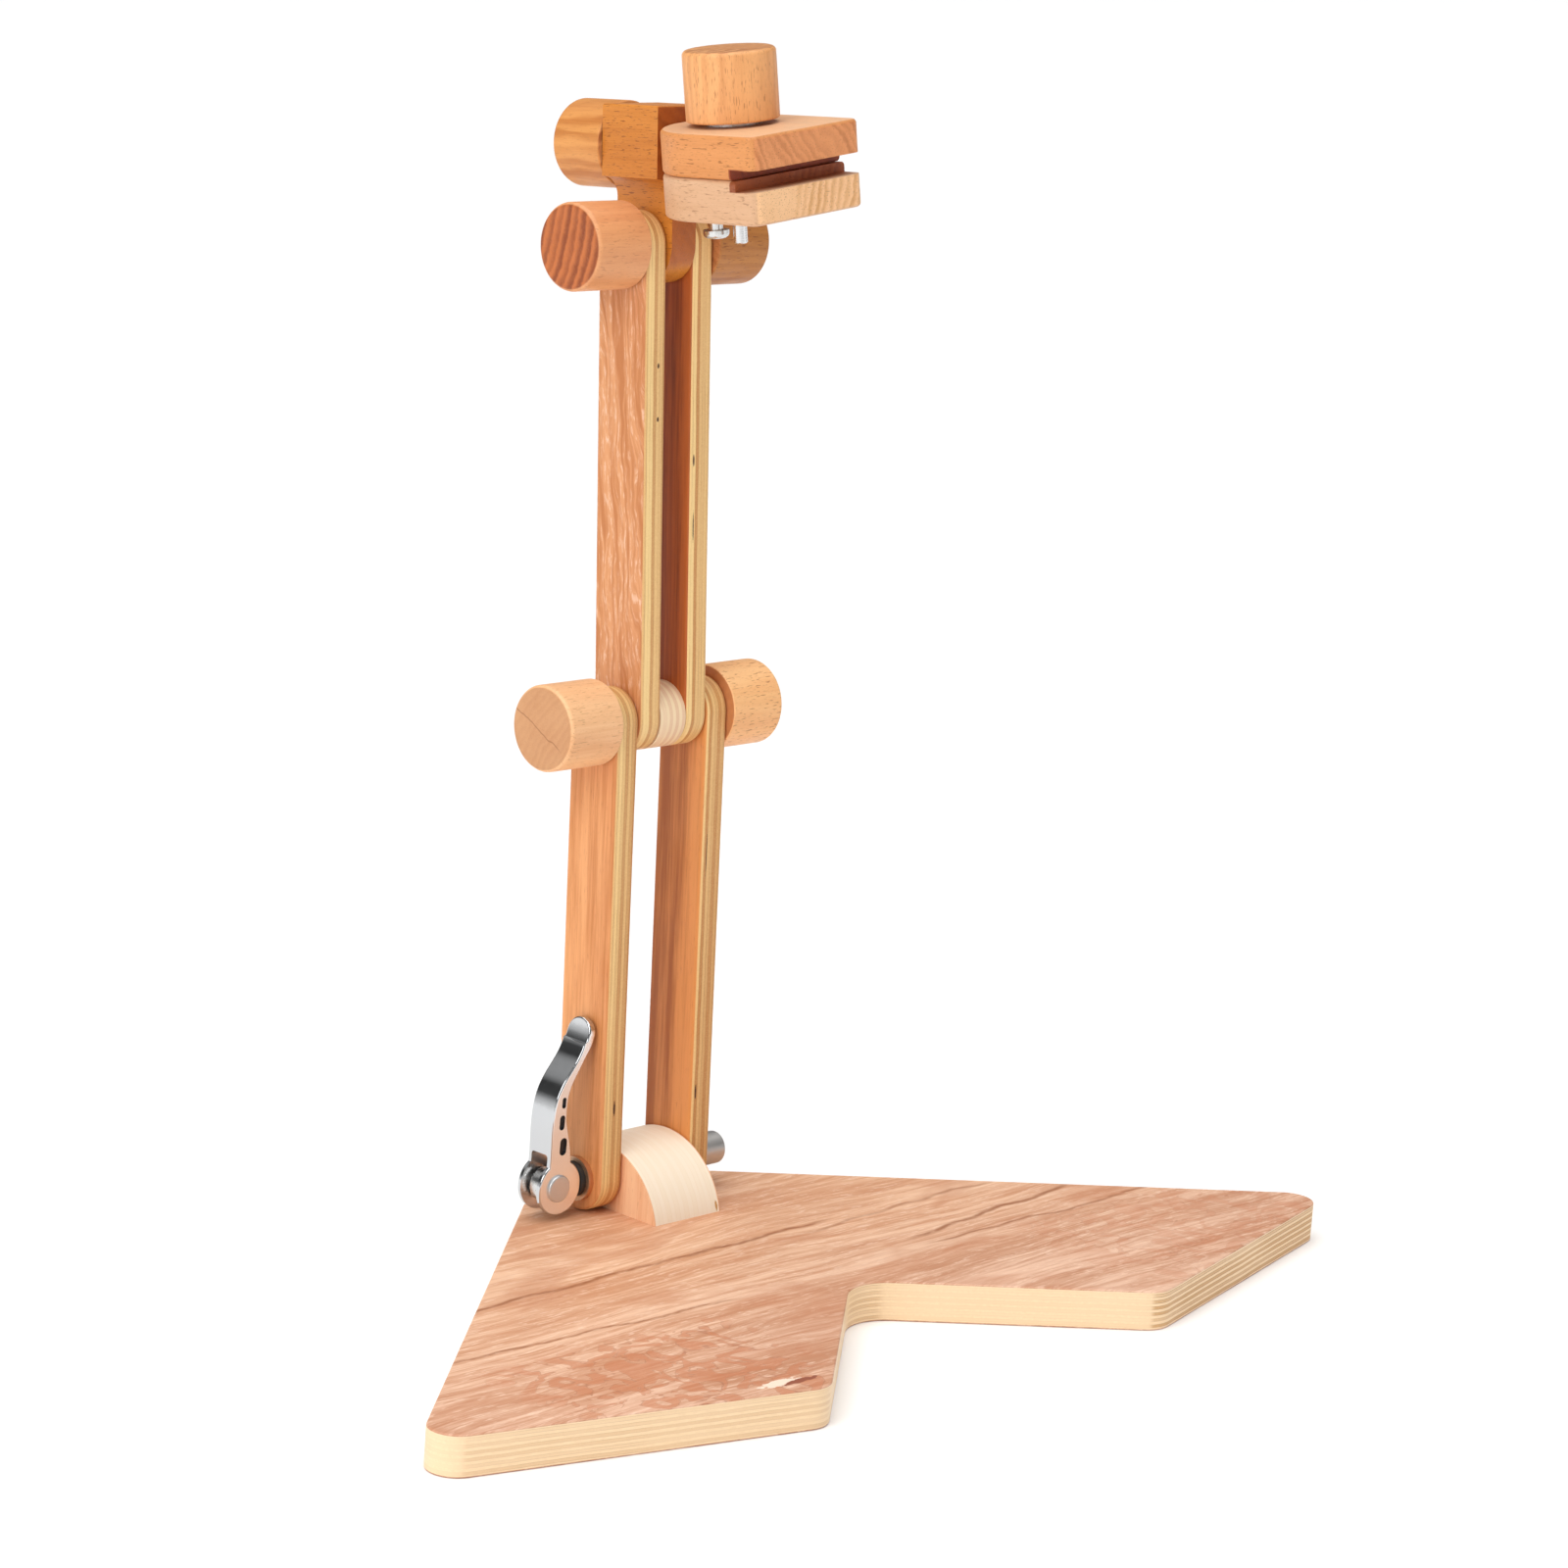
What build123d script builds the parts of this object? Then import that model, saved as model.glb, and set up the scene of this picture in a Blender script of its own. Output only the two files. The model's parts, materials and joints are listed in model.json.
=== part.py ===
from build123d import *
import os
from math import cos, radians, sin

# Sit-on stand for an embroidery hoop: a boomerang-shaped plywood base, two pairs
# of wooden arms joined by pivots, and a two-jaw clamp that grips the hoop.
# +X runs along the pivot axes towards the skewer nut, -Y is the sitter's side with
# the notch, +Z is up. The origin is on the underside, below the base hinge axis.

# ---------------------------------------------------------------- base board
BASE_THICKNESS = 18.0
BASE_OUTER_AT_Y0 = 70.3     # half width of the outer edge line at y = 0
BASE_OUTER_SLOPE = 1.2      # outward run of the outer edge per mm towards the sitter
NOTCH_POINT_Y = -137.3      # where the two notch edges would meet
NOTCH_SLOPE = 1.17          # outward run of a notch edge per mm towards the sitter
LEG_END_AT_X0 = -254.9      # y of a leg's end edge line carried to x = 0
LEG_END_SLOPE = 0.273
BASE_BACK_RADIUS = 60.0
BASE_TIP_RADIUS = 12.0
BASE_INNER_RADIUS = 14.0
NOTCH_RADIUS = 22.0
BASE_EDGE_ROUND = 0.8

# ------------------------------------------------------------------- hinges
HINGE_HEIGHT = 33.1         # base hinge axis above the underside
ARM_SPAN = 205.8            # between the pivot centres of one arm
LOWER_LEAN = 2.1            # degrees towards +Y
UPPER_LEAN = 4.2

ARM_WIDTH = 29.5
ARM_THICKNESS = 12.6
ARM_EDGE_ROUND = 1.6
UPPER_ARM_INNER = 7.6       # distance of the arm faces from the middle plane
LOWER_ARM_INNER = 20.8
KNOB_FACE_GAP = 0.4         # between an arm face and its knob
RUNNING = 0.05              # radial and side clearance of parts that turn

PIVOT_ROD_RADIUS = 4.0
SMALL_ROD_RADIUS = 3.0
SKEWER_RADIUS = 2.5
ROD_CHAMFER = 0.5

# ------------------------------------------------------------- pivot block
BLOCK_HALF_WIDTH = 20.2
BLOCK_RADIUS = 37.9
BLOCK_CENTRE_DROP = 8.3     # arc centre below the top of the base board
BLOCK_SCREW_Y = 19.0
BLOCK_SCREW_RADIUS = 2.2
BLOCK_SCREW_HEAD_RADIUS = 4.4
BLOCK_SCREW_LENGTH = 38.0
BLOCK_SCREW_SINK = 0.4      # depth of the heads below the underside
BLOCK_SCREW_POINT = 4.0     # length of the tapered point
BLOCK_SCREW_END_GAP = 0.5   # free depth left in the hole below the point

# -------------------------------------------------------------------- knobs
KNOB_RADIUS = 19.0
KNOB_LENGTH = 31.0
CLAMP_KNOB_RADIUS = 20.0
CLAMP_KNOB_LENGTH = 30.0
KNOB_END_ROUND = 2.2
KNOB_FACE_ROUND = 0.9
INSERT_LENGTH = 20.0
INSERT_WALL = 1.6
ROD_END_GAP = 1.0           # between a rod's end and the bottom of its insert

# ------------------------------------------------------- quick-release skewer
LEVER_PIVOT_X = -52.2
LEVER_HALF_WIDTH = 7.2
LEVER_TIP = 74.8            # above the pin
LEVER_EDGE_ROUND = 0.8
CAM_RADIUS = 12.4
CAM_OFFSET = 1.2
FORK_HALF_WIDTH = 5.1
FORK_DEPTH = 15.6
BARREL_RADIUS = 7.6
BARREL_HALF_WIDTH = 3.7
FORK_CORNER_ROUND = 1.5
BARREL_ROUND = 1.2
LEVER_PIN_RADIUS = 2.5
PIN_HEAD_RADIUS = 6.2
PIN_HEAD_HEIGHT = 1.3
PIN_HEAD_ROUND = 0.8
SADDLE_RADIUS = 8.0
SADDLE_ROUND = 0.6
SADDLE_WASHER_RADIUS = 10.0
SADDLE_WASHER_THICKNESS = 2.6
DIMPLE_DEPTH = 1.0
DIMPLE_TURN = 88            # degrees from the lever's own x
LEVER_CUT = 20.0            # reach of the cuts that pass right through the lever
NUT_RADIUS = 7.5
NUT_END_X = 52.2
NUT_END_WALL = 2.5
NUT_ROUND = 1.2
SKEWER_END_GAP = 3.0        # from the rod's end to the nut's outer face

# --------------------------------------------------------------------- neck
NECK_HEAD_HALF_WIDTH = 16.5
NECK_HALF_DEPTH = 17.0
NECK_TONGUE_HALF = 7.1
NECK_HEAD_TOP = 59.5        # above the neck pivot
NECK_HEAD_BOTTOM = 28.5
SWIVEL_HEIGHT = 41.6        # swivel axis above the neck pivot
NECK_FILLET = 9.0
NECK_TOP_ROUND = 1.2
NECK_CUT = 30.0             # reach of the cuts that pass right across the neck
SWIVEL_KNOB_LENGTH = 29.0

# -------------------------------------------------------------------- clamp
CLAMP_ROLL = 6.5            # degrees about the swivel axis, +X side up
JAW_HALF_WIDTH = 33.0
JAW_THICKNESS = 18.5
JAW_BACK = 17.6             # from the neck's middle plane to the jaws' flat back
JAW_BACK_FLAT = 0.8         # depth of the flat cut into the round back
JAW_FRONT = 90.0
JAW_TOP = 11.3              # top of the upper jaw above the swivel axis
JAW_GAP = 0.2
JAW_EDGE_ROUND = 1.8
JAW_CORNER_ROUND = 4.5
UPPER_REBATE_DEPTH = 13.5
LOWER_REBATE_DEPTH = 11.0
REBATE_HEIGHT = 4.4
REBATE_OVERCUT = 1.0
CLAMP_BOLT_Y = -47.2
CLAMP_BOLT_END = -39.3      # below the swivel axis
CLAMP_WASHER_THICKNESS = 1.9
CLAMP_WASHER_RADIUS = 12.0
GUIDE_BOLT_Y = -32.7
GUIDE_HEAD_TOP = -34.3
GUIDE_HEAD_RADIUS = 5.7
GUIDE_HEAD_HEIGHT = 3.6
GUIDE_HEAD_ROUND = 2.3
GUIDE_BOLT_DEPTH = 13.0     # threaded length inside the upper jaw
SWIVEL_INSERT_LENGTH = 10.0
SWIVEL_END_GAP = 0.5

WASHER_RADIUS = 13.0
KNOB_WASHER_RADIUS = 8.5

# --------------------------------------------------------------- worked out
UPPER_ARM_OUTER = UPPER_ARM_INNER + ARM_THICKNESS
LOWER_ARM_OUTER = LOWER_ARM_INNER + ARM_THICKNESS
ELBOW_Y = ARM_SPAN * sin(radians(LOWER_LEAN))
ELBOW_Z = HINGE_HEIGHT + ARM_SPAN * cos(radians(LOWER_LEAN))
NECK_Y = ELBOW_Y + ARM_SPAN * sin(radians(UPPER_LEAN))
NECK_Z = ELBOW_Z + ARM_SPAN * cos(radians(UPPER_LEAN))
JAW_ARC_Y = -(JAW_BACK - JAW_BACK_FLAT + JAW_HALF_WIDTH)
UPPER_JAW_BOTTOM = JAW_TOP - JAW_THICKNESS
LOWER_JAW_TOP = UPPER_JAW_BOTTOM - JAW_GAP
LOWER_JAW_BOTTOM = LOWER_JAW_TOP - JAW_THICKNESS

NECK_AXES = dict(
    x_dir=(1, 0, 0),
    z_dir=(0, sin(radians(UPPER_LEAN)), cos(radians(UPPER_LEAN))),
)
NECK_FRAME = Plane(origin=(0, NECK_Y, NECK_Z), **NECK_AXES)
SWIVEL_FRAME = NECK_FRAME.offset(SWIVEL_HEIGHT)
CLAMP_FRAME = Plane(
    origin=SWIVEL_FRAME.origin,
    x_dir=SWIVEL_FRAME.x_dir.rotate(Axis((0, 0, 0), SWIVEL_FRAME.y_dir), -CLAMP_ROLL),
    z_dir=SWIVEL_FRAME.z_dir.rotate(Axis((0, 0, 0), SWIVEL_FRAME.y_dir), -CLAMP_ROLL),
)


def side_plane(x, y, z, lean=0.0):
    """A plane facing +X; its own x runs backwards and its own y upwards."""
    tilt = radians(lean)
    return Plane(origin=(x, y, z), x_dir=(0, cos(tilt), -sin(tilt)), z_dir=(1, 0, 0))


def clamp_plane(height):
    """A plane across the clamp, at a height above the swivel axis."""
    return CLAMP_FRAME.offset(height)


def facing(frame, y, backwards=True):
    """A plane across the swivel axis, at a place along it."""
    direction = frame.y_dir if backwards else -frame.y_dir
    return Plane(origin=frame.origin + frame.y_dir * y, x_dir=frame.x_dir, z_dir=direction)


def finish(part, name):
    part.label = name
    export_step(part, f"parts/{name}.step")


def make_ring(plane, outer, inner, height):
    with BuildPart() as ring:
        with BuildSketch(plane):
            Circle(outer)
            Circle(inner, mode=Mode.SUBTRACT)
        extrude(amount=height)
    return ring.part


def make_rod(plane, radius, length):
    with BuildPart() as rod:
        with BuildSketch(plane):
            Circle(radius)
        extrude(amount=length)
        chamfer(rod.edges().filter_by(GeomType.CIRCLE), ROD_CHAMFER)
    return rod.part


def make_arm(x, y, z, lean, lower_bore, upper_bore):
    """A bar with round ends; its lower pivot is at (x, y, z) on its -X face."""
    plane = side_plane(x, y, z, lean)
    with BuildPart() as arm:
        with BuildSketch(plane):
            with Locations((0, ARM_SPAN / 2)):
                SlotCenterToCenter(ARM_SPAN, ARM_WIDTH, rotation=90)
        extrude(amount=ARM_THICKNESS)
        faces = arm.faces().sort_by(Axis.X)
        fillet(faces[0].edges() + faces[-1].edges(), ARM_EDGE_ROUND)
        with BuildSketch(plane):
            Circle(lower_bore)
            with Locations((0, ARM_SPAN)):
                Circle(upper_bore)
        extrude(amount=ARM_THICKNESS, mode=Mode.SUBTRACT)
    return arm.part


def make_knob(plane, radius, length, bore, bore_depth):
    """A plain turned knob; the plane lies on its inner face and looks outwards."""
    with BuildPart() as knob:
        with BuildSketch(plane):
            Circle(radius)
        extrude(amount=length)
        rims = knob.edges().filter_by(GeomType.CIRCLE)
        rims = rims.sort_by(lambda rim: (rim.arc_center - plane.origin).dot(plane.z_dir))
        inner, outer = rims[0], rims[-1]
        fillet(outer, KNOB_END_ROUND)
        fillet(inner, KNOB_FACE_ROUND)
        with BuildSketch(plane):
            Circle(bore)
        extrude(amount=bore_depth, mode=Mode.SUBTRACT)
    return knob.part


def make_jaw(bottom):
    """A jaw blank: square front, half-round back with a narrow flat."""
    with BuildPart() as jaw:
        with BuildSketch(clamp_plane(bottom)):
            with Locations((0, JAW_ARC_Y)):
                Circle(JAW_HALF_WIDTH)
            with Locations((0, (JAW_ARC_Y - JAW_FRONT) / 2)):
                Rectangle(2 * JAW_HALF_WIDTH, JAW_FRONT + JAW_ARC_Y)
            with Locations((0, JAW_BACK_FLAT - JAW_BACK)):
                Rectangle(2 * JAW_HALF_WIDTH, 2 * JAW_BACK_FLAT, mode=Mode.SUBTRACT)
        extrude(amount=JAW_THICKNESS)
        upright = jaw.edges().filter_by(lambda e: is_upright(e, CLAMP_FRAME.z_dir))
        front = upright.sort_by(lambda e: (e @ 0.5 - CLAMP_FRAME.origin).dot(CLAMP_FRAME.y_dir))
        fillet(front[:2], JAW_CORNER_ROUND)
        fillet(
            jaw.edges().filter_by(lambda e: not is_upright(e, CLAMP_FRAME.z_dir)),
            JAW_EDGE_ROUND,
        )
    return jaw.part


def is_upright(edge, direction):
    return edge.geom_type == GeomType.LINE and abs((edge % 0.5).dot(direction)) > 0.99


os.makedirs("parts", exist_ok=True)

# ---------------------------------------------------------------- base board
base_top = BASE_THICKNESS
tip_x = BASE_OUTER_AT_Y0 - BASE_OUTER_SLOPE * LEG_END_AT_X0
tip_x = tip_x / (1 + BASE_OUTER_SLOPE * LEG_END_SLOPE)
tip_y = LEG_END_AT_X0 + LEG_END_SLOPE * tip_x
inner_x = NOTCH_SLOPE * (NOTCH_POINT_Y - LEG_END_AT_X0) / (1 + NOTCH_SLOPE * LEG_END_SLOPE)
inner_y = LEG_END_AT_X0 + LEG_END_SLOPE * inner_x
back_y = BASE_OUTER_AT_Y0 / BASE_OUTER_SLOPE
screw_places = [(0, -BLOCK_SCREW_Y), (0, BLOCK_SCREW_Y)]


def corner(sketch, x, y):
    return sketch.vertices().sort_by_distance((x, y, 0))[0]


with BuildPart() as base_board:
    with BuildSketch() as outline:
        with BuildLine():
            Polyline(
                (0, back_y),
                (tip_x, tip_y),
                (inner_x, inner_y),
                (0, NOTCH_POINT_Y),
                (-inner_x, inner_y),
                (-tip_x, tip_y),
                close=True,
            )
        make_face()
        fillet(corner(outline, 0, back_y), BASE_BACK_RADIUS)
        fillet(corner(outline, 0, NOTCH_POINT_Y), NOTCH_RADIUS)
        for side in (-1, 1):
            fillet(corner(outline, side * tip_x, tip_y), BASE_TIP_RADIUS)
            fillet(corner(outline, side * inner_x, inner_y), BASE_INNER_RADIUS)
    extrude(amount=BASE_THICKNESS)
    levels = base_board.faces().sort_by(Axis.Z)
    fillet(levels[0].edges() + levels[-1].edges(), BASE_EDGE_ROUND)
    with Locations(Plane.XY.rotated((180, 0, 0))):
        with Locations(*screw_places):
            CounterSinkHole(
                BLOCK_SCREW_RADIUS,
                BLOCK_SCREW_HEAD_RADIUS + BLOCK_SCREW_SINK,
                counter_sink_angle=90,
            )
finish(base_board.part, "base_board")

# The block is a drum segment glued and screwed to the board; the skewer runs through it.
with BuildPart() as pivot_block:
    with BuildSketch(side_plane(-BLOCK_HALF_WIDTH, 0, base_top)):
        with Locations((0, -BLOCK_CENTRE_DROP)):
            Circle(BLOCK_RADIUS)
        with Locations((0, -BLOCK_RADIUS)):
            Rectangle(4 * BLOCK_RADIUS, 2 * BLOCK_RADIUS, mode=Mode.SUBTRACT)
        with Locations((0, HINGE_HEIGHT - base_top)):
            Circle(SKEWER_RADIUS + RUNNING, mode=Mode.SUBTRACT)
    extrude(amount=2 * BLOCK_HALF_WIDTH)
    with BuildSketch(Plane.XY.offset(base_top)):
        with Locations(*screw_places):
            Circle(BLOCK_SCREW_RADIUS)
    extrude(amount=BLOCK_SCREW_LENGTH - base_top, mode=Mode.SUBTRACT)
finish(pivot_block.part, "pivot_block")

with BuildPart() as pivot_block_screws:
    with BuildSketch(Plane.XZ):
        with BuildLine():
            Polyline(
                (0, BLOCK_SCREW_SINK),
                (BLOCK_SCREW_HEAD_RADIUS, BLOCK_SCREW_SINK),
                (BLOCK_SCREW_RADIUS, BLOCK_SCREW_SINK + BLOCK_SCREW_HEAD_RADIUS - BLOCK_SCREW_RADIUS),
                (BLOCK_SCREW_RADIUS, BLOCK_SCREW_LENGTH - BLOCK_SCREW_POINT),
                (0, BLOCK_SCREW_LENGTH - BLOCK_SCREW_END_GAP),
                close=True,
            )
        make_face()
    revolve(axis=Axis.Z)
pivot_screws = [Location((x, y, 0)) * pivot_block_screws.part for x, y in screw_places]
finish(Compound(children=pivot_screws), "pivot_block_screws")

# ---------------------------------------------------------------- lower arms
for side, x in (("left", -LOWER_ARM_OUTER), ("right", LOWER_ARM_INNER)):
    lower_arm = make_arm(
        x, 0, HINGE_HEIGHT, LOWER_LEAN, SKEWER_RADIUS + RUNNING, PIVOT_ROD_RADIUS + RUNNING
    )
    finish(lower_arm, f"lower_arm_{side}")

pivot_gap = LOWER_ARM_INNER - BLOCK_HALF_WIDTH - RUNNING
pivot_washers = [
    make_ring(side_plane(x, 0, HINGE_HEIGHT), WASHER_RADIUS, SKEWER_RADIUS + RUNNING, pivot_gap)
    for x in (-LOWER_ARM_INNER, LOWER_ARM_INNER - pivot_gap)
]
finish(Compound(children=pivot_washers), "pivot_washers")

knob_washer = KNOB_FACE_GAP - RUNNING
elbow_knob_washers = [
    make_ring(
        side_plane(x, ELBOW_Y, ELBOW_Z), KNOB_WASHER_RADIUS, PIVOT_ROD_RADIUS + RUNNING, knob_washer
    )
    for x in (-LOWER_ARM_OUTER - knob_washer, LOWER_ARM_OUTER)
]
finish(Compound(children=elbow_knob_washers), "elbow_knob_washers")

# ---------------------------------------------------- quick-release skewer
# The rod ends in a barrel that the lever's pin passes through.
hinge_plane = side_plane(LEVER_PIVOT_X, 0, HINGE_HEIGHT)
across = Plane(origin=(LEVER_PIVOT_X, 0, HINGE_HEIGHT), x_dir=(1, 0, 0), z_dir=(0, -1, 0))


def is_barrel_rim(edge):
    return edge.geom_type == GeomType.CIRCLE and abs(edge.radius - BARREL_RADIUS) < 0.01


with BuildPart() as skewer_rod:
    with BuildSketch(hinge_plane):
        Circle(SKEWER_RADIUS)
    extrude(amount=NUT_END_X - SKEWER_END_GAP - LEVER_PIVOT_X)
    with BuildSketch(across):
        Circle(BARREL_RADIUS)
    extrude(amount=BARREL_HALF_WIDTH, both=True)
    fillet(skewer_rod.edges().filter_by(is_barrel_rim), BARREL_ROUND)
    with BuildSketch(across):
        Circle(LEVER_PIN_RADIUS + RUNNING)
    extrude(amount=BARREL_HALF_WIDTH, both=True, mode=Mode.SUBTRACT)
finish(skewer_rod.part, "skewer_rod")

saddle_face = LEVER_PIVOT_X + CAM_OFFSET + CAM_RADIUS + RUNNING
saddle_back = -LOWER_ARM_OUTER - SADDLE_WASHER_THICKNESS
saddle_plane = side_plane(saddle_face, 0, HINGE_HEIGHT)
with BuildPart() as skewer_saddle:
    with BuildSketch(saddle_plane):
        Circle(SADDLE_RADIUS)
        Circle(SKEWER_RADIUS + RUNNING, mode=Mode.SUBTRACT)
    extrude(amount=saddle_back - saddle_face)
    rim = skewer_saddle.edges().filter_by(GeomType.CIRCLE).sort_by(SortBy.RADIUS)[-2:]
    fillet(rim.sort_by(Axis.X)[0], SADDLE_ROUND)
finish(skewer_saddle.part, "skewer_saddle")
saddle_washer = make_ring(
    side_plane(saddle_back, 0, HINGE_HEIGHT),
    SADDLE_WASHER_RADIUS,
    SKEWER_RADIUS + RUNNING,
    SADDLE_WASHER_THICKNESS,
)
finish(saddle_washer, "skewer_saddle_washer")

# Side profile of the lever, from the pin: x towards the arm, y up along the lever.
# The outer face steps in below the tip, and the thumb pad is above the step.
lever_outer = [(-5.8, 9.4), (-5.6, 18.0), (-5.7, 27.0), (-5.1, 34.5), (-3.5, 41.5), (-0.4, 47.5)]
lever_outer += [(3.0, 52.0), (7.0, 57.0), (9.5, 61.0), (10.9, 64.4)]
thumb_pad = [(12.2, 64.9), (13.7, 69.5), (14.4, LEVER_TIP)]
lever_inner = [(17.4, LEVER_TIP), (17.2, 68.0), (15.6, 63.2), (12.4, 58.2), (8.8, 52.4), (5.8, 47.6)]
lever_inner += [(3.8, 42.6), (3.0, 36.0), (3.3, 30.0), (4.8, 24.0), (6.2, 18.5), (7.0, 9.6)]
dimples = [((0.6, 39.2), 5.0, 2.3), ((0.1, 30.2), 6.8, 3.0), ((1.6, 19.0), 8.0, 4.0)]
with BuildPart() as cam_lever:
    with BuildSketch(across):
        with BuildLine():
            Spline(*lever_outer)
            Line(lever_outer[-1], thumb_pad[0])
            Spline(*thumb_pad)
            Line(thumb_pad[-1], lever_inner[0])
            Spline(*lever_inner)
            Polyline(lever_inner[-1], (CAM_OFFSET, 0), lever_outer[0])
        make_face()
        with Locations((CAM_OFFSET, 0)):
            Circle(CAM_RADIUS)
    extrude(amount=LEVER_HALF_WIDTH, both=True)
    end_on = Plane(origin=(LEVER_PIVOT_X, 0, HINGE_HEIGHT), x_dir=(0, 1, 0), z_dir=(1, 0, 0))
    with BuildSketch(end_on.offset(-LEVER_CUT)):
        with Locations((0, LEVER_TIP - LEVER_HALF_WIDTH)):
            Circle(LEVER_HALF_WIDTH)
        with Locations((0, (LEVER_TIP - LEVER_HALF_WIDTH) / 2 - CAM_RADIUS)):
            Rectangle(2 * LEVER_HALF_WIDTH, LEVER_TIP - LEVER_HALF_WIDTH + 2 * CAM_RADIUS)
    extrude(amount=2 * LEVER_CUT, mode=Mode.INTERSECT)
    cheek_rims = cam_lever.edges().filter_by(
        lambda e: e.geom_type != GeomType.LINE and abs((e @ 0.5).Y) > LEVER_HALF_WIDTH / 2
    )
    fillet(cheek_rims, LEVER_EDGE_ROUND)
    with BuildSketch(end_on.offset(-LEVER_CUT)):
        with Locations((0, FORK_DEPTH - LEVER_CUT)):
            RectangleRounded(2 * FORK_HALF_WIDTH, 2 * LEVER_CUT, FORK_CORNER_ROUND)
    extrude(amount=2 * LEVER_CUT, mode=Mode.SUBTRACT)
    with BuildSketch(across):
        Circle(LEVER_PIN_RADIUS)
    extrude(amount=LEVER_HALF_WIDTH, both=True, mode=Mode.SUBTRACT)
    for place, length, width in dimples:
        for direction in (-1, 1):
            with BuildSketch(across.offset(direction * LEVER_HALF_WIDTH)):
                with Locations(place):
                    SlotOverall(length, width, rotation=DIMPLE_TURN)
            extrude(amount=-direction * DIMPLE_DEPTH, mode=Mode.SUBTRACT)
finish(cam_lever.part, "cam_lever")

with BuildPart() as lever_pin:
    with BuildSketch(across):
        Circle(LEVER_PIN_RADIUS)
    extrude(amount=LEVER_HALF_WIDTH, both=True)
    for direction in (-1, 1):
        with BuildSketch(across.offset(direction * LEVER_HALF_WIDTH)):
            Circle(PIN_HEAD_RADIUS)
        extrude(amount=direction * PIN_HEAD_HEIGHT)
    ends = lever_pin.edges().filter_by(GeomType.CIRCLE).sort_by(Axis.Y)
    fillet([ends[0], ends[-1]], PIN_HEAD_ROUND)
finish(lever_pin.part, "lever_pin")

nut_face = LOWER_ARM_OUTER + RUNNING
with BuildPart() as skewer_nut:
    with BuildSketch(side_plane(nut_face, 0, HINGE_HEIGHT)):
        Circle(NUT_RADIUS)
    extrude(amount=NUT_END_X - nut_face)
    fillet(skewer_nut.edges().filter_by(GeomType.CIRCLE).sort_by(Axis.X)[-1], NUT_ROUND)
    with BuildSketch(side_plane(nut_face, 0, HINGE_HEIGHT)):
        Circle(SKEWER_RADIUS + RUNNING)
    extrude(amount=NUT_END_X - nut_face - NUT_END_WALL, mode=Mode.SUBTRACT)
finish(skewer_nut.part, "skewer_nut")

# ---------------------------------------------------------------- upper arms
for side, x in (("left", -UPPER_ARM_OUTER), ("right", UPPER_ARM_INNER)):
    upper_arm = make_arm(
        x, ELBOW_Y, ELBOW_Z, UPPER_LEAN, PIVOT_ROD_RADIUS + RUNNING, PIVOT_ROD_RADIUS + RUNNING
    )
    finish(upper_arm, f"upper_arm_{side}")

elbow_spacer = make_ring(
    side_plane(-UPPER_ARM_INNER, ELBOW_Y, ELBOW_Z),
    ARM_WIDTH / 2,
    PIVOT_ROD_RADIUS + RUNNING,
    2 * UPPER_ARM_INNER,
)
finish(elbow_spacer, "elbow_spacer")

elbow_gap = LOWER_ARM_INNER - UPPER_ARM_OUTER - RUNNING
elbow_washers = [
    make_ring(
        side_plane(x, ELBOW_Y, ELBOW_Z), WASHER_RADIUS, PIVOT_ROD_RADIUS + RUNNING, elbow_gap
    )
    for x in (-UPPER_ARM_OUTER - elbow_gap, UPPER_ARM_OUTER)
]
finish(Compound(children=elbow_washers), "elbow_washers")

neck_knob_washers = [
    make_ring(
        side_plane(x, NECK_Y, NECK_Z), KNOB_WASHER_RADIUS, PIVOT_ROD_RADIUS + RUNNING, knob_washer
    )
    for x in (-UPPER_ARM_OUTER - knob_washer, UPPER_ARM_OUTER)
]
finish(Compound(children=neck_knob_washers), "neck_knob_washers")

# Each pair of knobs turns on the threaded ends of one rod.
rod_in_knob = INSERT_LENGTH - ROD_END_GAP
for name, face, y, z in (
    ("elbow", LOWER_ARM_OUTER + KNOB_FACE_GAP, ELBOW_Y, ELBOW_Z),
    ("neck", UPPER_ARM_OUTER + KNOB_FACE_GAP, NECK_Y, NECK_Z),
):
    reach = face + rod_in_knob
    finish(make_rod(side_plane(-reach, y, z), PIVOT_ROD_RADIUS, 2 * reach), f"{name}_rod")
    for side, direction in (("left", -1), ("right", 1)):
        plane = Plane(
            origin=(direction * face, y, z), x_dir=(0, direction, 0), z_dir=(direction, 0, 0)
        )
        knob = make_knob(
            plane, KNOB_RADIUS, KNOB_LENGTH, PIVOT_ROD_RADIUS + INSERT_WALL, INSERT_LENGTH
        )
        finish(knob, f"{name}_knob_{side}")
        insert = make_ring(
            plane, PIVOT_ROD_RADIUS + INSERT_WALL, PIVOT_ROD_RADIUS + RUNNING, INSERT_LENGTH
        )
        finish(insert, f"{name}_knob_insert_{side}")

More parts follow.
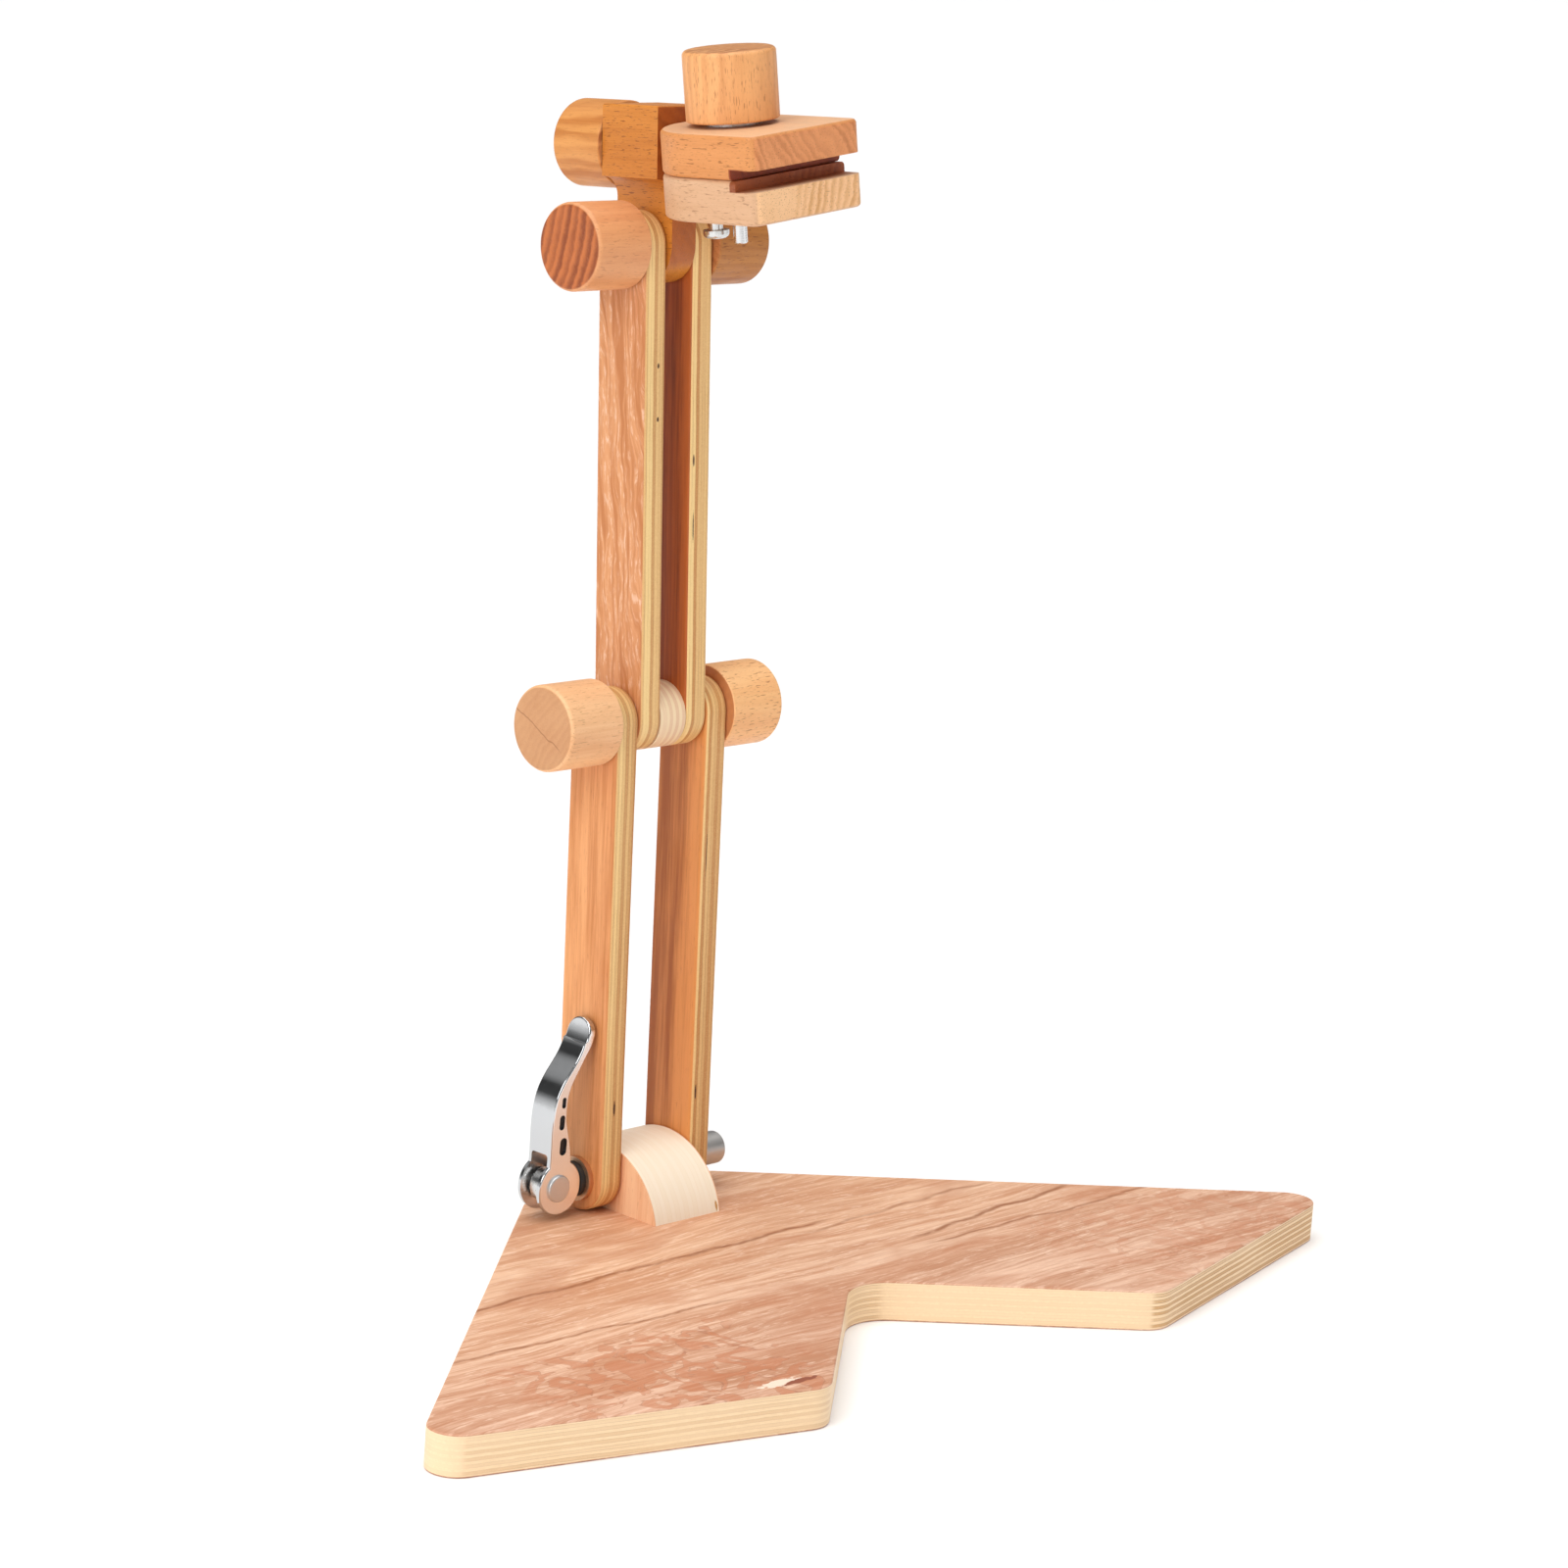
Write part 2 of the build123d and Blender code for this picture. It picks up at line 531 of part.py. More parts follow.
# ---------------------------------------------------------------------- neck
# A rectangular head, narrowed by concave flanks to a tongue between the upper arms.
neck_outline = facing(NECK_FRAME, NECK_HALF_DEPTH, backwards=False)
with BuildPart() as neck_block:
    with BuildSketch(neck_outline):
        with Locations((0, (NECK_HEAD_TOP + NECK_HEAD_BOTTOM - NECK_FILLET) / 2)):
            Rectangle(
                2 * NECK_HEAD_HALF_WIDTH, NECK_HEAD_TOP - NECK_HEAD_BOTTOM + NECK_FILLET
            )
        Rectangle(2 * NECK_TONGUE_HALF, 2 * NECK_HEAD_BOTTOM)
        for side in (-1, 1):
            with Locations((side * (NECK_TONGUE_HALF + NECK_FILLET), NECK_HEAD_BOTTOM - NECK_FILLET)):
                Circle(NECK_FILLET, mode=Mode.SUBTRACT)
            with Locations((side * NECK_HEAD_HALF_WIDTH, NECK_HEAD_BOTTOM - NECK_FILLET)):
                Rectangle(
                    2 * (NECK_HEAD_HALF_WIDTH - NECK_TONGUE_HALF - NECK_FILLET),
                    2 * NECK_FILLET,
                    mode=Mode.SUBTRACT,
                )
    extrude(amount=2 * NECK_HALF_DEPTH)
    with BuildSketch(side_plane(-NECK_CUT, NECK_Y, NECK_Z, UPPER_LEAN)):
        Circle(NECK_HALF_DEPTH)
        with Locations((0, NECK_HEAD_TOP / 2)):
            Rectangle(2 * NECK_HALF_DEPTH, NECK_HEAD_TOP)
    extrude(amount=2 * NECK_CUT, mode=Mode.INTERSECT)
    with BuildSketch(side_plane(-NECK_CUT, NECK_Y, NECK_Z)):
        Circle(PIVOT_ROD_RADIUS + RUNNING)
    extrude(amount=2 * NECK_CUT, mode=Mode.SUBTRACT)
    with BuildSketch(facing(SWIVEL_FRAME, -NECK_HALF_DEPTH)):
        Circle(SMALL_ROD_RADIUS + RUNNING)
    extrude(amount=2 * NECK_HALF_DEPTH, mode=Mode.SUBTRACT)
    top = neck_block.faces().sort_by(lambda f: f.center().dot(NECK_FRAME.z_dir))[-1]
    fillet(top.edges(), NECK_TOP_ROUND)
finish(neck_block.part, "neck_block")

neck_gap = UPPER_ARM_INNER - NECK_TONGUE_HALF - RUNNING
neck_washers = [
    make_ring(side_plane(x, NECK_Y, NECK_Z), WASHER_RADIUS, PIVOT_ROD_RADIUS + RUNNING, neck_gap)
    for x in (-NECK_TONGUE_HALF - neck_gap, NECK_TONGUE_HALF)
]
finish(Compound(children=neck_washers), "neck_washers")

# --------------------------------------------------------------------- clamp
# The swivel rod is fixed in the upper jaw and turns in the neck; its knob is behind.
swivel_knob_face = NECK_HALF_DEPTH + KNOB_FACE_GAP
swivel_inner_end = JAW_BACK + SWIVEL_INSERT_LENGTH - SWIVEL_END_GAP
swivel_outer_end = swivel_knob_face + rod_in_knob
swivel_rod = make_rod(
    facing(CLAMP_FRAME, -swivel_inner_end), SMALL_ROD_RADIUS, swivel_inner_end + swivel_outer_end
)
finish(swivel_rod, "swivel_rod")
swivel_insert = make_ring(
    facing(CLAMP_FRAME, -JAW_BACK, backwards=False),
    SMALL_ROD_RADIUS + INSERT_WALL,
    SMALL_ROD_RADIUS + RUNNING,
    SWIVEL_INSERT_LENGTH,
)
finish(swivel_insert, "swivel_insert")
swivel_washer = make_ring(
    facing(CLAMP_FRAME, -JAW_BACK),
    KNOB_WASHER_RADIUS,
    SMALL_ROD_RADIUS + RUNNING,
    JAW_BACK - NECK_HALF_DEPTH - RUNNING,
)
finish(swivel_washer, "swivel_washer")
swivel_knob_washer = make_ring(
    facing(SWIVEL_FRAME, NECK_HALF_DEPTH),
    KNOB_WASHER_RADIUS,
    SMALL_ROD_RADIUS + RUNNING,
    knob_washer,
)
finish(swivel_knob_washer, "swivel_knob_washer")
swivel_plane = facing(CLAMP_FRAME, swivel_knob_face)
swivel_knob = make_knob(
    swivel_plane, KNOB_RADIUS, SWIVEL_KNOB_LENGTH, SMALL_ROD_RADIUS + INSERT_WALL, INSERT_LENGTH
)
finish(swivel_knob, "swivel_knob")
swivel_knob_insert = make_ring(
    swivel_plane, SMALL_ROD_RADIUS + INSERT_WALL, SMALL_ROD_RADIUS + RUNNING, INSERT_LENGTH
)
finish(swivel_knob_insert, "swivel_knob_insert")

upper_blank = make_jaw(UPPER_JAW_BOTTOM)
with BuildPart() as upper_jaw:
    add(upper_blank)
    with BuildSketch(clamp_plane(UPPER_JAW_BOTTOM)):
        with Locations((0, -JAW_FRONT)):
            Rectangle(2 * (JAW_HALF_WIDTH + REBATE_OVERCUT), 2 * UPPER_REBATE_DEPTH)
    extrude(amount=REBATE_HEIGHT, mode=Mode.SUBTRACT)
    with BuildSketch(clamp_plane(UPPER_JAW_BOTTOM)):
        with Locations((0, CLAMP_BOLT_Y)):
            Circle(SMALL_ROD_RADIUS + 2 * RUNNING)
    extrude(amount=JAW_THICKNESS, mode=Mode.SUBTRACT)
    with BuildSketch(clamp_plane(UPPER_JAW_BOTTOM)):
        with Locations((0, GUIDE_BOLT_Y)):
            Circle(SMALL_ROD_RADIUS)
    extrude(amount=GUIDE_BOLT_DEPTH, mode=Mode.SUBTRACT)
    with BuildSketch(facing(CLAMP_FRAME, -JAW_BACK, backwards=False)):
        Circle(SMALL_ROD_RADIUS + INSERT_WALL)
    extrude(amount=SWIVEL_INSERT_LENGTH, mode=Mode.SUBTRACT)
finish(upper_jaw.part, "upper_jaw")

lower_blank = make_jaw(LOWER_JAW_BOTTOM)
lower_insert_radius = SMALL_ROD_RADIUS + INSERT_WALL
with BuildPart() as lower_jaw:
    add(lower_blank)
    with BuildSketch(clamp_plane(LOWER_JAW_TOP - REBATE_HEIGHT)):
        with Locations((0, -JAW_FRONT)):
            Rectangle(2 * (JAW_HALF_WIDTH + REBATE_OVERCUT), 2 * LOWER_REBATE_DEPTH)
    extrude(amount=REBATE_HEIGHT, mode=Mode.SUBTRACT)
    with BuildSketch(clamp_plane(LOWER_JAW_BOTTOM)):
        with Locations((0, CLAMP_BOLT_Y)):
            Circle(lower_insert_radius)
        with Locations((0, GUIDE_BOLT_Y)):
            Circle(SMALL_ROD_RADIUS + 2 * RUNNING)
    extrude(amount=JAW_THICKNESS, mode=Mode.SUBTRACT)
finish(lower_jaw.part, "lower_jaw")
with BuildPart() as lower_jaw_insert:
    with BuildSketch(clamp_plane(LOWER_JAW_BOTTOM)):
        with Locations((0, CLAMP_BOLT_Y)):
            Circle(lower_insert_radius)
            Circle(SMALL_ROD_RADIUS + RUNNING, mode=Mode.SUBTRACT)
    extrude(amount=JAW_THICKNESS)
finish(lower_jaw_insert.part, "lower_jaw_insert")

# The head of the guide bolt stops the lower jaw when the clamp is opened.
with BuildPart() as guide_bolt:
    with BuildSketch(clamp_plane(GUIDE_HEAD_TOP - GUIDE_HEAD_HEIGHT)):
        with Locations((0, GUIDE_BOLT_Y)):
            Circle(GUIDE_HEAD_RADIUS)
    extrude(amount=GUIDE_HEAD_HEIGHT)
    rims = guide_bolt.edges().filter_by(GeomType.CIRCLE)
    fillet(rims.sort_by(lambda rim: rim.arc_center.dot(CLAMP_FRAME.z_dir))[0], GUIDE_HEAD_ROUND)
    with BuildSketch(clamp_plane(GUIDE_HEAD_TOP)):
        with Locations((0, GUIDE_BOLT_Y)):
            Circle(SMALL_ROD_RADIUS)
    extrude(amount=UPPER_JAW_BOTTOM + GUIDE_BOLT_DEPTH - GUIDE_HEAD_TOP)
finish(guide_bolt.part, "guide_bolt")

clamp_knob_face = JAW_TOP + CLAMP_WASHER_THICKNESS + RUNNING
clamp_axis_frame = Plane(
    origin=CLAMP_FRAME.origin + CLAMP_FRAME.y_dir * CLAMP_BOLT_Y,
    x_dir=CLAMP_FRAME.x_dir,
    z_dir=CLAMP_FRAME.z_dir,
)
clamp_washer = make_ring(
    clamp_axis_frame.offset(JAW_TOP + RUNNING),
    CLAMP_WASHER_RADIUS,
    SMALL_ROD_RADIUS,
    CLAMP_WASHER_THICKNESS,
)
finish(clamp_washer, "clamp_washer")
clamp_knob = make_knob(
    clamp_axis_frame.offset(clamp_knob_face),
    CLAMP_KNOB_RADIUS,
    CLAMP_KNOB_LENGTH,
    SMALL_ROD_RADIUS,
    INSERT_LENGTH,
)
finish(clamp_knob, "clamp_knob")
clamp_bolt = make_rod(
    clamp_axis_frame.offset(CLAMP_BOLT_END),
    SMALL_ROD_RADIUS,
    clamp_knob_face + INSERT_LENGTH - CLAMP_BOLT_END,
)
finish(clamp_bolt, "clamp_bolt")
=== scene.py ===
import json
from math import radians, tau

import bpy
from mathutils import Matrix, Vector


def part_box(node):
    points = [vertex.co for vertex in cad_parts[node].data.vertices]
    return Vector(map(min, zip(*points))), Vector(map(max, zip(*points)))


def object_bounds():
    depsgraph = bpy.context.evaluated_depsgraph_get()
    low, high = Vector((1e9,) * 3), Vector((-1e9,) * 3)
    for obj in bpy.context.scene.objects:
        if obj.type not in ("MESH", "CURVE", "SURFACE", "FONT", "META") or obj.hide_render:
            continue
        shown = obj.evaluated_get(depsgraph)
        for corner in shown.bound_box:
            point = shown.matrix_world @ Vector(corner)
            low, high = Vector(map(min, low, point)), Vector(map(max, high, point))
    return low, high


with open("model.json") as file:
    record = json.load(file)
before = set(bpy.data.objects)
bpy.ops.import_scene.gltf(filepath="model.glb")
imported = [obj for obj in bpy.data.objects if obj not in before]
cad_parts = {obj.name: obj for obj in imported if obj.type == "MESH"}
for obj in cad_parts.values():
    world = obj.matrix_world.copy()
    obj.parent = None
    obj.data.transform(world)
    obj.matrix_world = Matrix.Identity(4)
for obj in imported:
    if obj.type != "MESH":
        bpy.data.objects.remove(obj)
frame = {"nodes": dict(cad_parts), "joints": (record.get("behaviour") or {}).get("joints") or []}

# Looks for the hoop stand. Lengths in the materials are in millimetres: each material scales its
# own coordinates, so that a grain line or a ply is given at its real size.
cad_low, cad_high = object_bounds()
nodes = frame["nodes"]
joints = {joint["name"]: joint for joint in frame["joints"]}

MM_PER_M = 1000.0
X, Y, Z = 0, 1, 2


def pivot(joint_name):
    """Place of a joint, in metres."""
    return Vector(joints[joint_name]["pos_m"])


HINGE = pivot("base_hinge")
ELBOW = pivot("elbow_hinge")
NECK = pivot("neck_tilt")
SWIVEL = pivot("head_swivel")
SWIVEL_AXIS = Vector(joints["head_swivel"]["axis"])
CLAMP_AXIS = Vector(joints["clamp_knob_turn"]["axis"])


def srgb(red, green, blue):
    """A colour given as 0 to 255 screen values, as linear RGBA."""
    linear = []
    for value in (red / 255, green / 255, blue / 255):
        linear.append(value / 12.92 if value <= 0.04045 else ((value + 0.055) / 1.055) ** 2.4)
    return (*linear, 1.0)


# ------------------------------------------------------------------ node graphs
class Graph:
    """The shader nodes of one material."""

    def __init__(self, name):
        self.material = bpy.data.materials.new(name)
        self.material.use_nodes = True
        self.tree = self.material.node_tree
        self.tree.nodes.clear()
        self.shader = self.tree.nodes.new("ShaderNodeBsdfPrincipled")
        output = self.tree.nodes.new("ShaderNodeOutputMaterial")
        self.tree.links.new(self.shader.outputs["BSDF"], output.inputs["Surface"])
        self.coordinates = self.tree.nodes.new("ShaderNodeTexCoord")

    def put(self, socket, value):
        if isinstance(value, bpy.types.NodeSocket):
            self.tree.links.new(value, socket)
        else:
            socket.default_value = value

    def set(self, **values):
        """Values or links for the shader's own sockets, spaces written as underscores."""
        for name, value in values.items():
            self.put(self.shader.inputs[name.replace("_", " ")], value)

    def math(self, operation, first, second=0.0, third=0.0):
        node = self.tree.nodes.new("ShaderNodeMath")
        node.operation = operation
        for socket, value in zip(node.inputs, (first, second, third)):
            self.put(socket, value)
        return node.outputs[0]

    def place(self, vector, scale=(1, 1, 1), turn=(0, 0, 0), shift=(0, 0, 0)):
        """Scales, then turns, then shifts a vector."""
        node = self.tree.nodes.new("ShaderNodeMapping")
        for name, value in (
            ("Vector", vector),
            ("Scale", scale),
            ("Rotation", turn),
            ("Location", shift),
        ):
            self.put(node.inputs[name], value)
        return node.outputs[0]

    def millimetres(self, turn=(0, 0, 0), origin=(0, 0, 0)):
        """Object coordinates in millimetres, measured from origin and turned."""
        scaled = self.place(
            self.coordinates.outputs["Object"],
            scale=(MM_PER_M,) * 3,
            shift=tuple(-MM_PER_M * value for value in origin),
        )
        return self.place(scaled, turn=turn)

    def split(self, vector):
        node = self.tree.nodes.new("ShaderNodeSeparateXYZ")
        self.put(node.inputs[0], vector)
        return node.outputs

    def join(self, x, y, z):
        node = self.tree.nodes.new("ShaderNodeCombineXYZ")
        for socket, value in zip(node.inputs, (x, y, z)):
            self.put(socket, value)
        return node.outputs[0]

    def length(self, x, y, z=0.0):
        node = self.tree.nodes.new("ShaderNodeVectorMath")
        node.operation = "LENGTH"
        self.put(node.inputs[0], self.join(x, y, z))
        return node.outputs["Value"]

    def noise(self, vector, stretch=(1, 1, 1), detail=2.0, roughness=0.5, distortion=0.0, seed=0.0):
        """Noise whose stretch is in cycles per millimetre along each axis."""
        node = self.tree.nodes.new("ShaderNodeTexNoise")
        shifted = self.place(vector, scale=stretch, shift=(seed, 1.7 * seed, -2.3 * seed))
        for name, value in (
            ("Vector", shifted),
            ("Scale", 1.0),
            ("Detail", detail),
            ("Roughness", roughness),
            ("Distortion", distortion),
        ):
            self.put(node.inputs[name], value)
        return node.outputs["Fac"]

    def random(self, value, seed=0.0):
        """One random number from 0 to 1 for each whole number."""
        node = self.tree.nodes.new("ShaderNodeTexWhiteNoise")
        node.noise_dimensions = "2D"
        self.put(node.inputs["Vector"], self.join(value, seed, 0.0))
        return node.outputs["Value"]

    def step(self, value, low, high, start=0.0, end=1.0):
        """Smooth step of a value between low and high, which may fall instead of rise."""
        node = self.tree.nodes.new("ShaderNodeMapRange")
        node.interpolation_type = "SMOOTHSTEP"
        for socket, number in zip(node.inputs, (value, low, high, start, end)):
            self.put(socket, number)
        return node.outputs[0]

    def levels(self, value, numbers):
        """The number of the equal interval between 0 and 1 that a value falls in."""
        node = self.tree.nodes.new("ShaderNodeValToRGB")
        node.color_ramp.interpolation = "CONSTANT"
        elements = node.color_ramp.elements
        while len(elements) < len(numbers):
            elements.new(0.5)
        for index, number in enumerate(numbers):
            elements[index].position = index / len(numbers)
            elements[index].color = (number, number, number, 1.0)
        self.put(node.inputs[0], value)
        return node.outputs["Color"]

    def mix(self, factor, first, second, blend="MIX"):
        node = self.tree.nodes.new("ShaderNodeMix")
        node.data_type = "RGBA"
        node.blend_type = blend
        for index, value in ((0, factor), (6, first), (7, second)):
            self.put(node.inputs[index], value)
        return node.outputs[2]

    def between(self, factor, first, second):
        """A number that goes from first to second as the factor goes from 0 to 1."""
        node = self.tree.nodes.new("ShaderNodeMix")
        for index, value in ((0, factor), (2, first), (3, second)):
            self.put(node.inputs[index], value)
        return node.outputs[0]

    def bump(self, height, distance, strength=1.0):
        node = self.tree.nodes.new("ShaderNodeBump")
        for name, value in (("Height", height), ("Distance", distance), ("Strength", strength)):
            self.put(node.inputs[name], value)
        self.put(self.shader.inputs["Normal"], node.outputs[0])

    def facing(self, direction):
        """How far the surface faces along a direction fixed to the piece: 1 when square to it."""
        node = self.tree.nodes.new("ShaderNodeVectorMath")
        node.operation = "DOT_PRODUCT"
        self.put(node.inputs[0], self.coordinates.outputs["Normal"])
        self.put(node.inputs[1], direction)
        return self.math("ABSOLUTE", node.outputs["Value"])


def turn_onto_z(direction):
    """Euler angles that bring a direction onto +Z."""
    return Vector(direction).rotation_difference(Vector((0, 0, 1))).to_euler()


# ------------------------------------------------------------------------- wood
PORE_COLOUR = (0.12, 0.04, 0.014, 1.0)
# Heights of the surface relief, in metres.
WOOD_RELIEF = 0.00012
BRUSH_RELIEF = 0.00001
THREAD_RELIEF = 0.0001
PLASTIC_RELIEF = 0.00003


def beech(name, grain, origin, pith, rings, light, dark, end_light, end_dark,
          ring_contrast=0.6, side_rings=0.25, fleck=0.5, wave=2.5, seed=0.0, ring_area=None,
          shade=None):
    """Solid beech: growth rings round a pith beside the piece, fibres and short flecks along the grain.

    grain is the direction of the fibres, pith the offset of the tree's centre across the grain,
    rings their spacing, and the end colours are those of the end grain. side_rings is how much of the
    ring contrast is left on the sides, ring_area the local x where the rings fade in, and shade an
    optional function of the graph and the colour that returns the colour to use.
    """
    g = Graph(name)
    wood = g.millimetres(turn=turn_onto_z(grain), origin=origin)
    x, y = g.split(wood)[:Z]
    wander = g.noise(wood, (0.05, 0.05, 0.018), detail=3.0, seed=seed)
    ripple = g.noise(wood, (0.35, 0.35, 0.03), detail=2.0, seed=seed + 3)
    offset_x = g.math("SUBTRACT", x, pith[0])
    offset_y = g.math("SUBTRACT", y, pith[1])
    radius = g.length(offset_x, offset_y)
    radius = g.math("MULTIPLY_ADD", wander, wave * rings, radius)
    radius = g.math("MULTIPLY_ADD", ripple, 0.35 * rings, radius)
    turns = g.math("DIVIDE", radius, rings)
    ring = g.math("FRACT", turns)
    ring_shade = g.math("MULTIPLY", g.step(ring, 0.0, 0.66), g.step(ring, 1.0, 0.7))
    ring_strength = g.math("MULTIPLY_ADD", g.random(g.math("FLOOR", turns), seed), 0.7, 0.3)
    ring_shade = g.math("MULTIPLY", ring_shade, ring_strength)
    if ring_area is not None:
        ring_shade = g.math("MULTIPLY", ring_shade, g.step(x, *ring_area))
    fibre = g.noise(wood, (1.1, 1.1, 0.05), detail=3.0, roughness=0.6, seed=seed + 5)
    broad = g.noise(wood, (0.10, 0.10, 0.012), detail=2.0, seed=seed + 9)
    ground = g.math("MULTIPLY_ADD", broad, 0.55, g.math("MULTIPLY", fibre, 0.4))
    ground = g.math("SUBTRACT", ground, 0.28)
    on_side = g.math("MULTIPLY_ADD", ring_shade, ring_contrast * side_rings, ground)
    on_end = g.math("MULTIPLY_ADD", ring_shade, ring_contrast, g.math("MULTIPLY", ground, 0.6))
    side = g.mix(g.step(on_side, -0.05, 0.75), light, dark)
    end = g.mix(g.step(on_end, -0.05, 0.75), end_light, end_dark)
    end_grain = g.step(g.facing(grain), 0.75, 0.95)
    colour = g.mix(end_grain, side, end)

    flecks = g.noise(wood, (1.7, 1.7, 0.24), detail=1.0, seed=seed + 11)
    fleck_mask = g.step(flecks, 0.62, 0.70)
    pores = g.noise(wood, (3.2, 3.2, 0.5), detail=0.0, seed=seed + 13)
    pore_mask = g.math("MULTIPLY", g.step(pores, 0.68, 0.80), 0.5)
    marks = g.math("MULTIPLY", g.math("MAXIMUM", fleck_mask, pore_mask), fleck)
    colour = g.mix(marks, colour, g.mix(0.4, dark, PORE_COLOUR))
    if shade is not None:
        colour = shade(g, colour)

    polish = g.noise(wood, (0.25, 0.25, 0.08), seed=seed + 17)
    g.set(
        Base_Color=colour,
        Roughness=g.step(polish, 0.25, 0.75, 0.40, 0.54),
        Specular_IOR_Level=0.42,
    )
    height = g.math("SUBTRACT", g.math("MULTIPLY", fibre, 0.35), marks)
    g.bump(height, WOOD_RELIEF, 0.7)
    return g.material


def plywood(name, across, start, ply, plies, grain, face, cores, lines, contrast=0.8,
            voids=(), void_colour=srgb(78, 40, 14), face_ply=0.6, seed=0.0, end_contrast=None,
            shades=None):
    """Plywood as a solid: plies stacked along one axis, each with its own shade and grain.

    face is a function of the graph and the grain coordinates that gives the outer veneer's colour;
    cores are the colours of long-grain and cross-grain plies, lines that of the glue lines.
    voids are (centre, radii) pairs in millimetres, small gaps in the inner plies, drawn as patches of
    painted shade with no hole cut. end_contrast is an optional function of the graph and the local
    millimetres that scales the plies' contrast. shades gives each ply's darkness from 0 to 1; without
    it the cross-grain plies are darker by chance.
    """
    g = Graph(name)
    wood = g.millimetres(turn=turn_onto_z(grain))
    plain = g.split(g.millimetres())
    depth = g.math("SUBTRACT", plain[across], start)
    wobble = g.noise(wood, (0.03, 0.03, 0.03), detail=2.0, seed=seed)
    fine = g.noise(wood, (0.5, 0.5, 0.12), detail=2.0, seed=seed + 2)
    bent = g.math("MULTIPLY_ADD", g.math("SUBTRACT", wobble, 0.5), 0.55 * ply, depth)
    bent = g.math("MULTIPLY_ADD", g.math("SUBTRACT", fine, 0.5), 0.16 * ply, bent)
    count = g.math("DIVIDE", bent, ply)
    layer = g.math("FLOOR", count)
    within = g.math("FRACT", count)
    fibre = g.noise(wood, (0.9, 0.9, 0.05), detail=3.0, roughness=0.6, seed=seed + 4)
    specks = g.noise(wood, (1.6, 1.6, 1.6), detail=2.0, roughness=0.7, seed=seed + 6)
    if shades is None:
        cross = g.math("MODULO", g.math("ADD", layer, 20.0), 2.0)
        chance = g.random(layer, seed)
        cross_shade = g.math("MULTIPLY_ADD", specks, 0.5, g.math("MULTIPLY", chance, 0.6))
        cross_shade = g.math("MULTIPLY", g.math("MULTIPLY", cross_shade, cross), contrast)
    else:
        place = g.math("DIVIDE", g.math("ADD", layer, 0.5), plies)
        speckled = g.math("MULTIPLY_ADD", specks, 0.4, -0.18)
        cross_shade = g.math("ADD", g.levels(place, shades), speckled)
    if end_contrast is not None:
        strength = end_contrast(g, plain)
        cross_shade = g.math("MULTIPLY", cross_shade, strength)
    long_shade = g.math("MULTIPLY", g.math("SUBTRACT", fibre, 0.35), 0.5 * contrast)
    core = g.mix(g.math("MAXIMUM", cross_shade, long_shade), cores[0], cores[1])
    edge = g.math("MINIMUM", within, g.math("SUBTRACT", 1.0, within))
    patchy = g.noise(wood, (0.05, 0.05, 0.02), detail=3.0, seed=seed + 8)
    glue = g.math("MULTIPLY", g.step(edge, 0.12, 0.02), g.step(patchy, 0.35, 0.65, 0.15, 0.7))
    glue = g.math("MULTIPLY", glue, contrast)
    if end_contrast is not None:
        glue = g.math("MULTIPLY", glue, strength)
    core = g.mix(glue, core, lines)
    # Painted shade: each void is a dark patch on the ply, with no hole cut.
    for centre, radii in voids:
        offset = [
            g.math("DIVIDE", g.math("SUBTRACT", plain[axis], centre[axis]), radii[axis])
            for axis in (X, Y, Z)
        ]
        ragged = g.math("MULTIPLY_ADD", specks, 0.9, g.length(*offset))
        core = g.mix(g.step(ragged, 1.45, 1.1), core, void_colour)

    total = ply * plies
    from_face = g.math("MINIMUM", depth, g.math("SUBTRACT", total, depth))
    veneer = g.step(from_face, face_ply + 0.08, face_ply - 0.08)
    face_colour, face_height = face(g, wood, plain)
    colour = g.mix(veneer, core, face_colour)
    g.set(
        Base_Color=colour,
        Roughness=g.step(patchy, 0.3, 0.7, 0.42, 0.56),
        Specular_IOR_Level=0.4,
    )
    inner_height = g.math("SUBTRACT", g.math("MULTIPLY", fibre, 0.4), g.math("MULTIPLY", glue, 0.6))
    height = g.between(veneer, inner_height, face_height)
    g.bump(height, WOOD_RELIEF, 0.7)
    return g.material


# ------------------------------------------------------------------- arm boards
ARM_PLY = 1.8
ARM_PLIES = 7
ARM_CORES = (srgb(255, 221, 154), srgb(182, 104, 34))
ARM_LINES = srgb(150, 86, 30)


def calm_face(seed, light, dark, inner=None):
    """Beech veneer with soft broad streaks along the grain.

    inner is (middle, light, dark, span) for a piece whose face below x = middle gets painted shade in
    its own colours: span is the (first, last) y in the grain's frame between which that painted shade
    deepens.
    """

    def face(g, wood, plain):
        broad = g.noise(wood, (0.16, 0.16, 0.006), detail=2.0, seed=seed)
        fibre = g.noise(wood, (0.9, 0.9, 0.035), detail=3.0, roughness=0.6, seed=seed + 1)
        flecks = g.noise(wood, (2.0, 2.0, 0.2), detail=1.0, seed=seed + 2)
        shade = g.math("MULTIPLY_ADD", fibre, 0.45, g.math("MULTIPLY", broad, 0.75))
        colour = g.mix(g.step(shade, 0.38, 0.85), light, dark)
        if inner is not None:
            middle, shaded_face_light, shaded_face_dark, painted_shade_span = inner
            # Painted shade: the face below x = middle takes its own darker colours and darkens further
            # across the grain.
            painted_shade = g.math("ADD", shade, g.step(g.split(wood)[Y], *painted_shade_span, -0.16, 0.16))
            shaded_face_colour = g.mix(g.step(painted_shade, 0.38, 0.85), shaded_face_light, shaded_face_dark)
            colour = g.mix(g.step(plain[X], middle + 1.0, middle - 1.0), colour, shaded_face_colour)
        marks = g.math("MULTIPLY", g.step(flecks, 0.64, 0.76), 0.28)
        colour = g.mix(marks, colour, srgb(150, 84, 44))
        return colour, g.math("SUBTRACT", g.math("MULTIPLY", fibre, 0.5), marks)

    return face


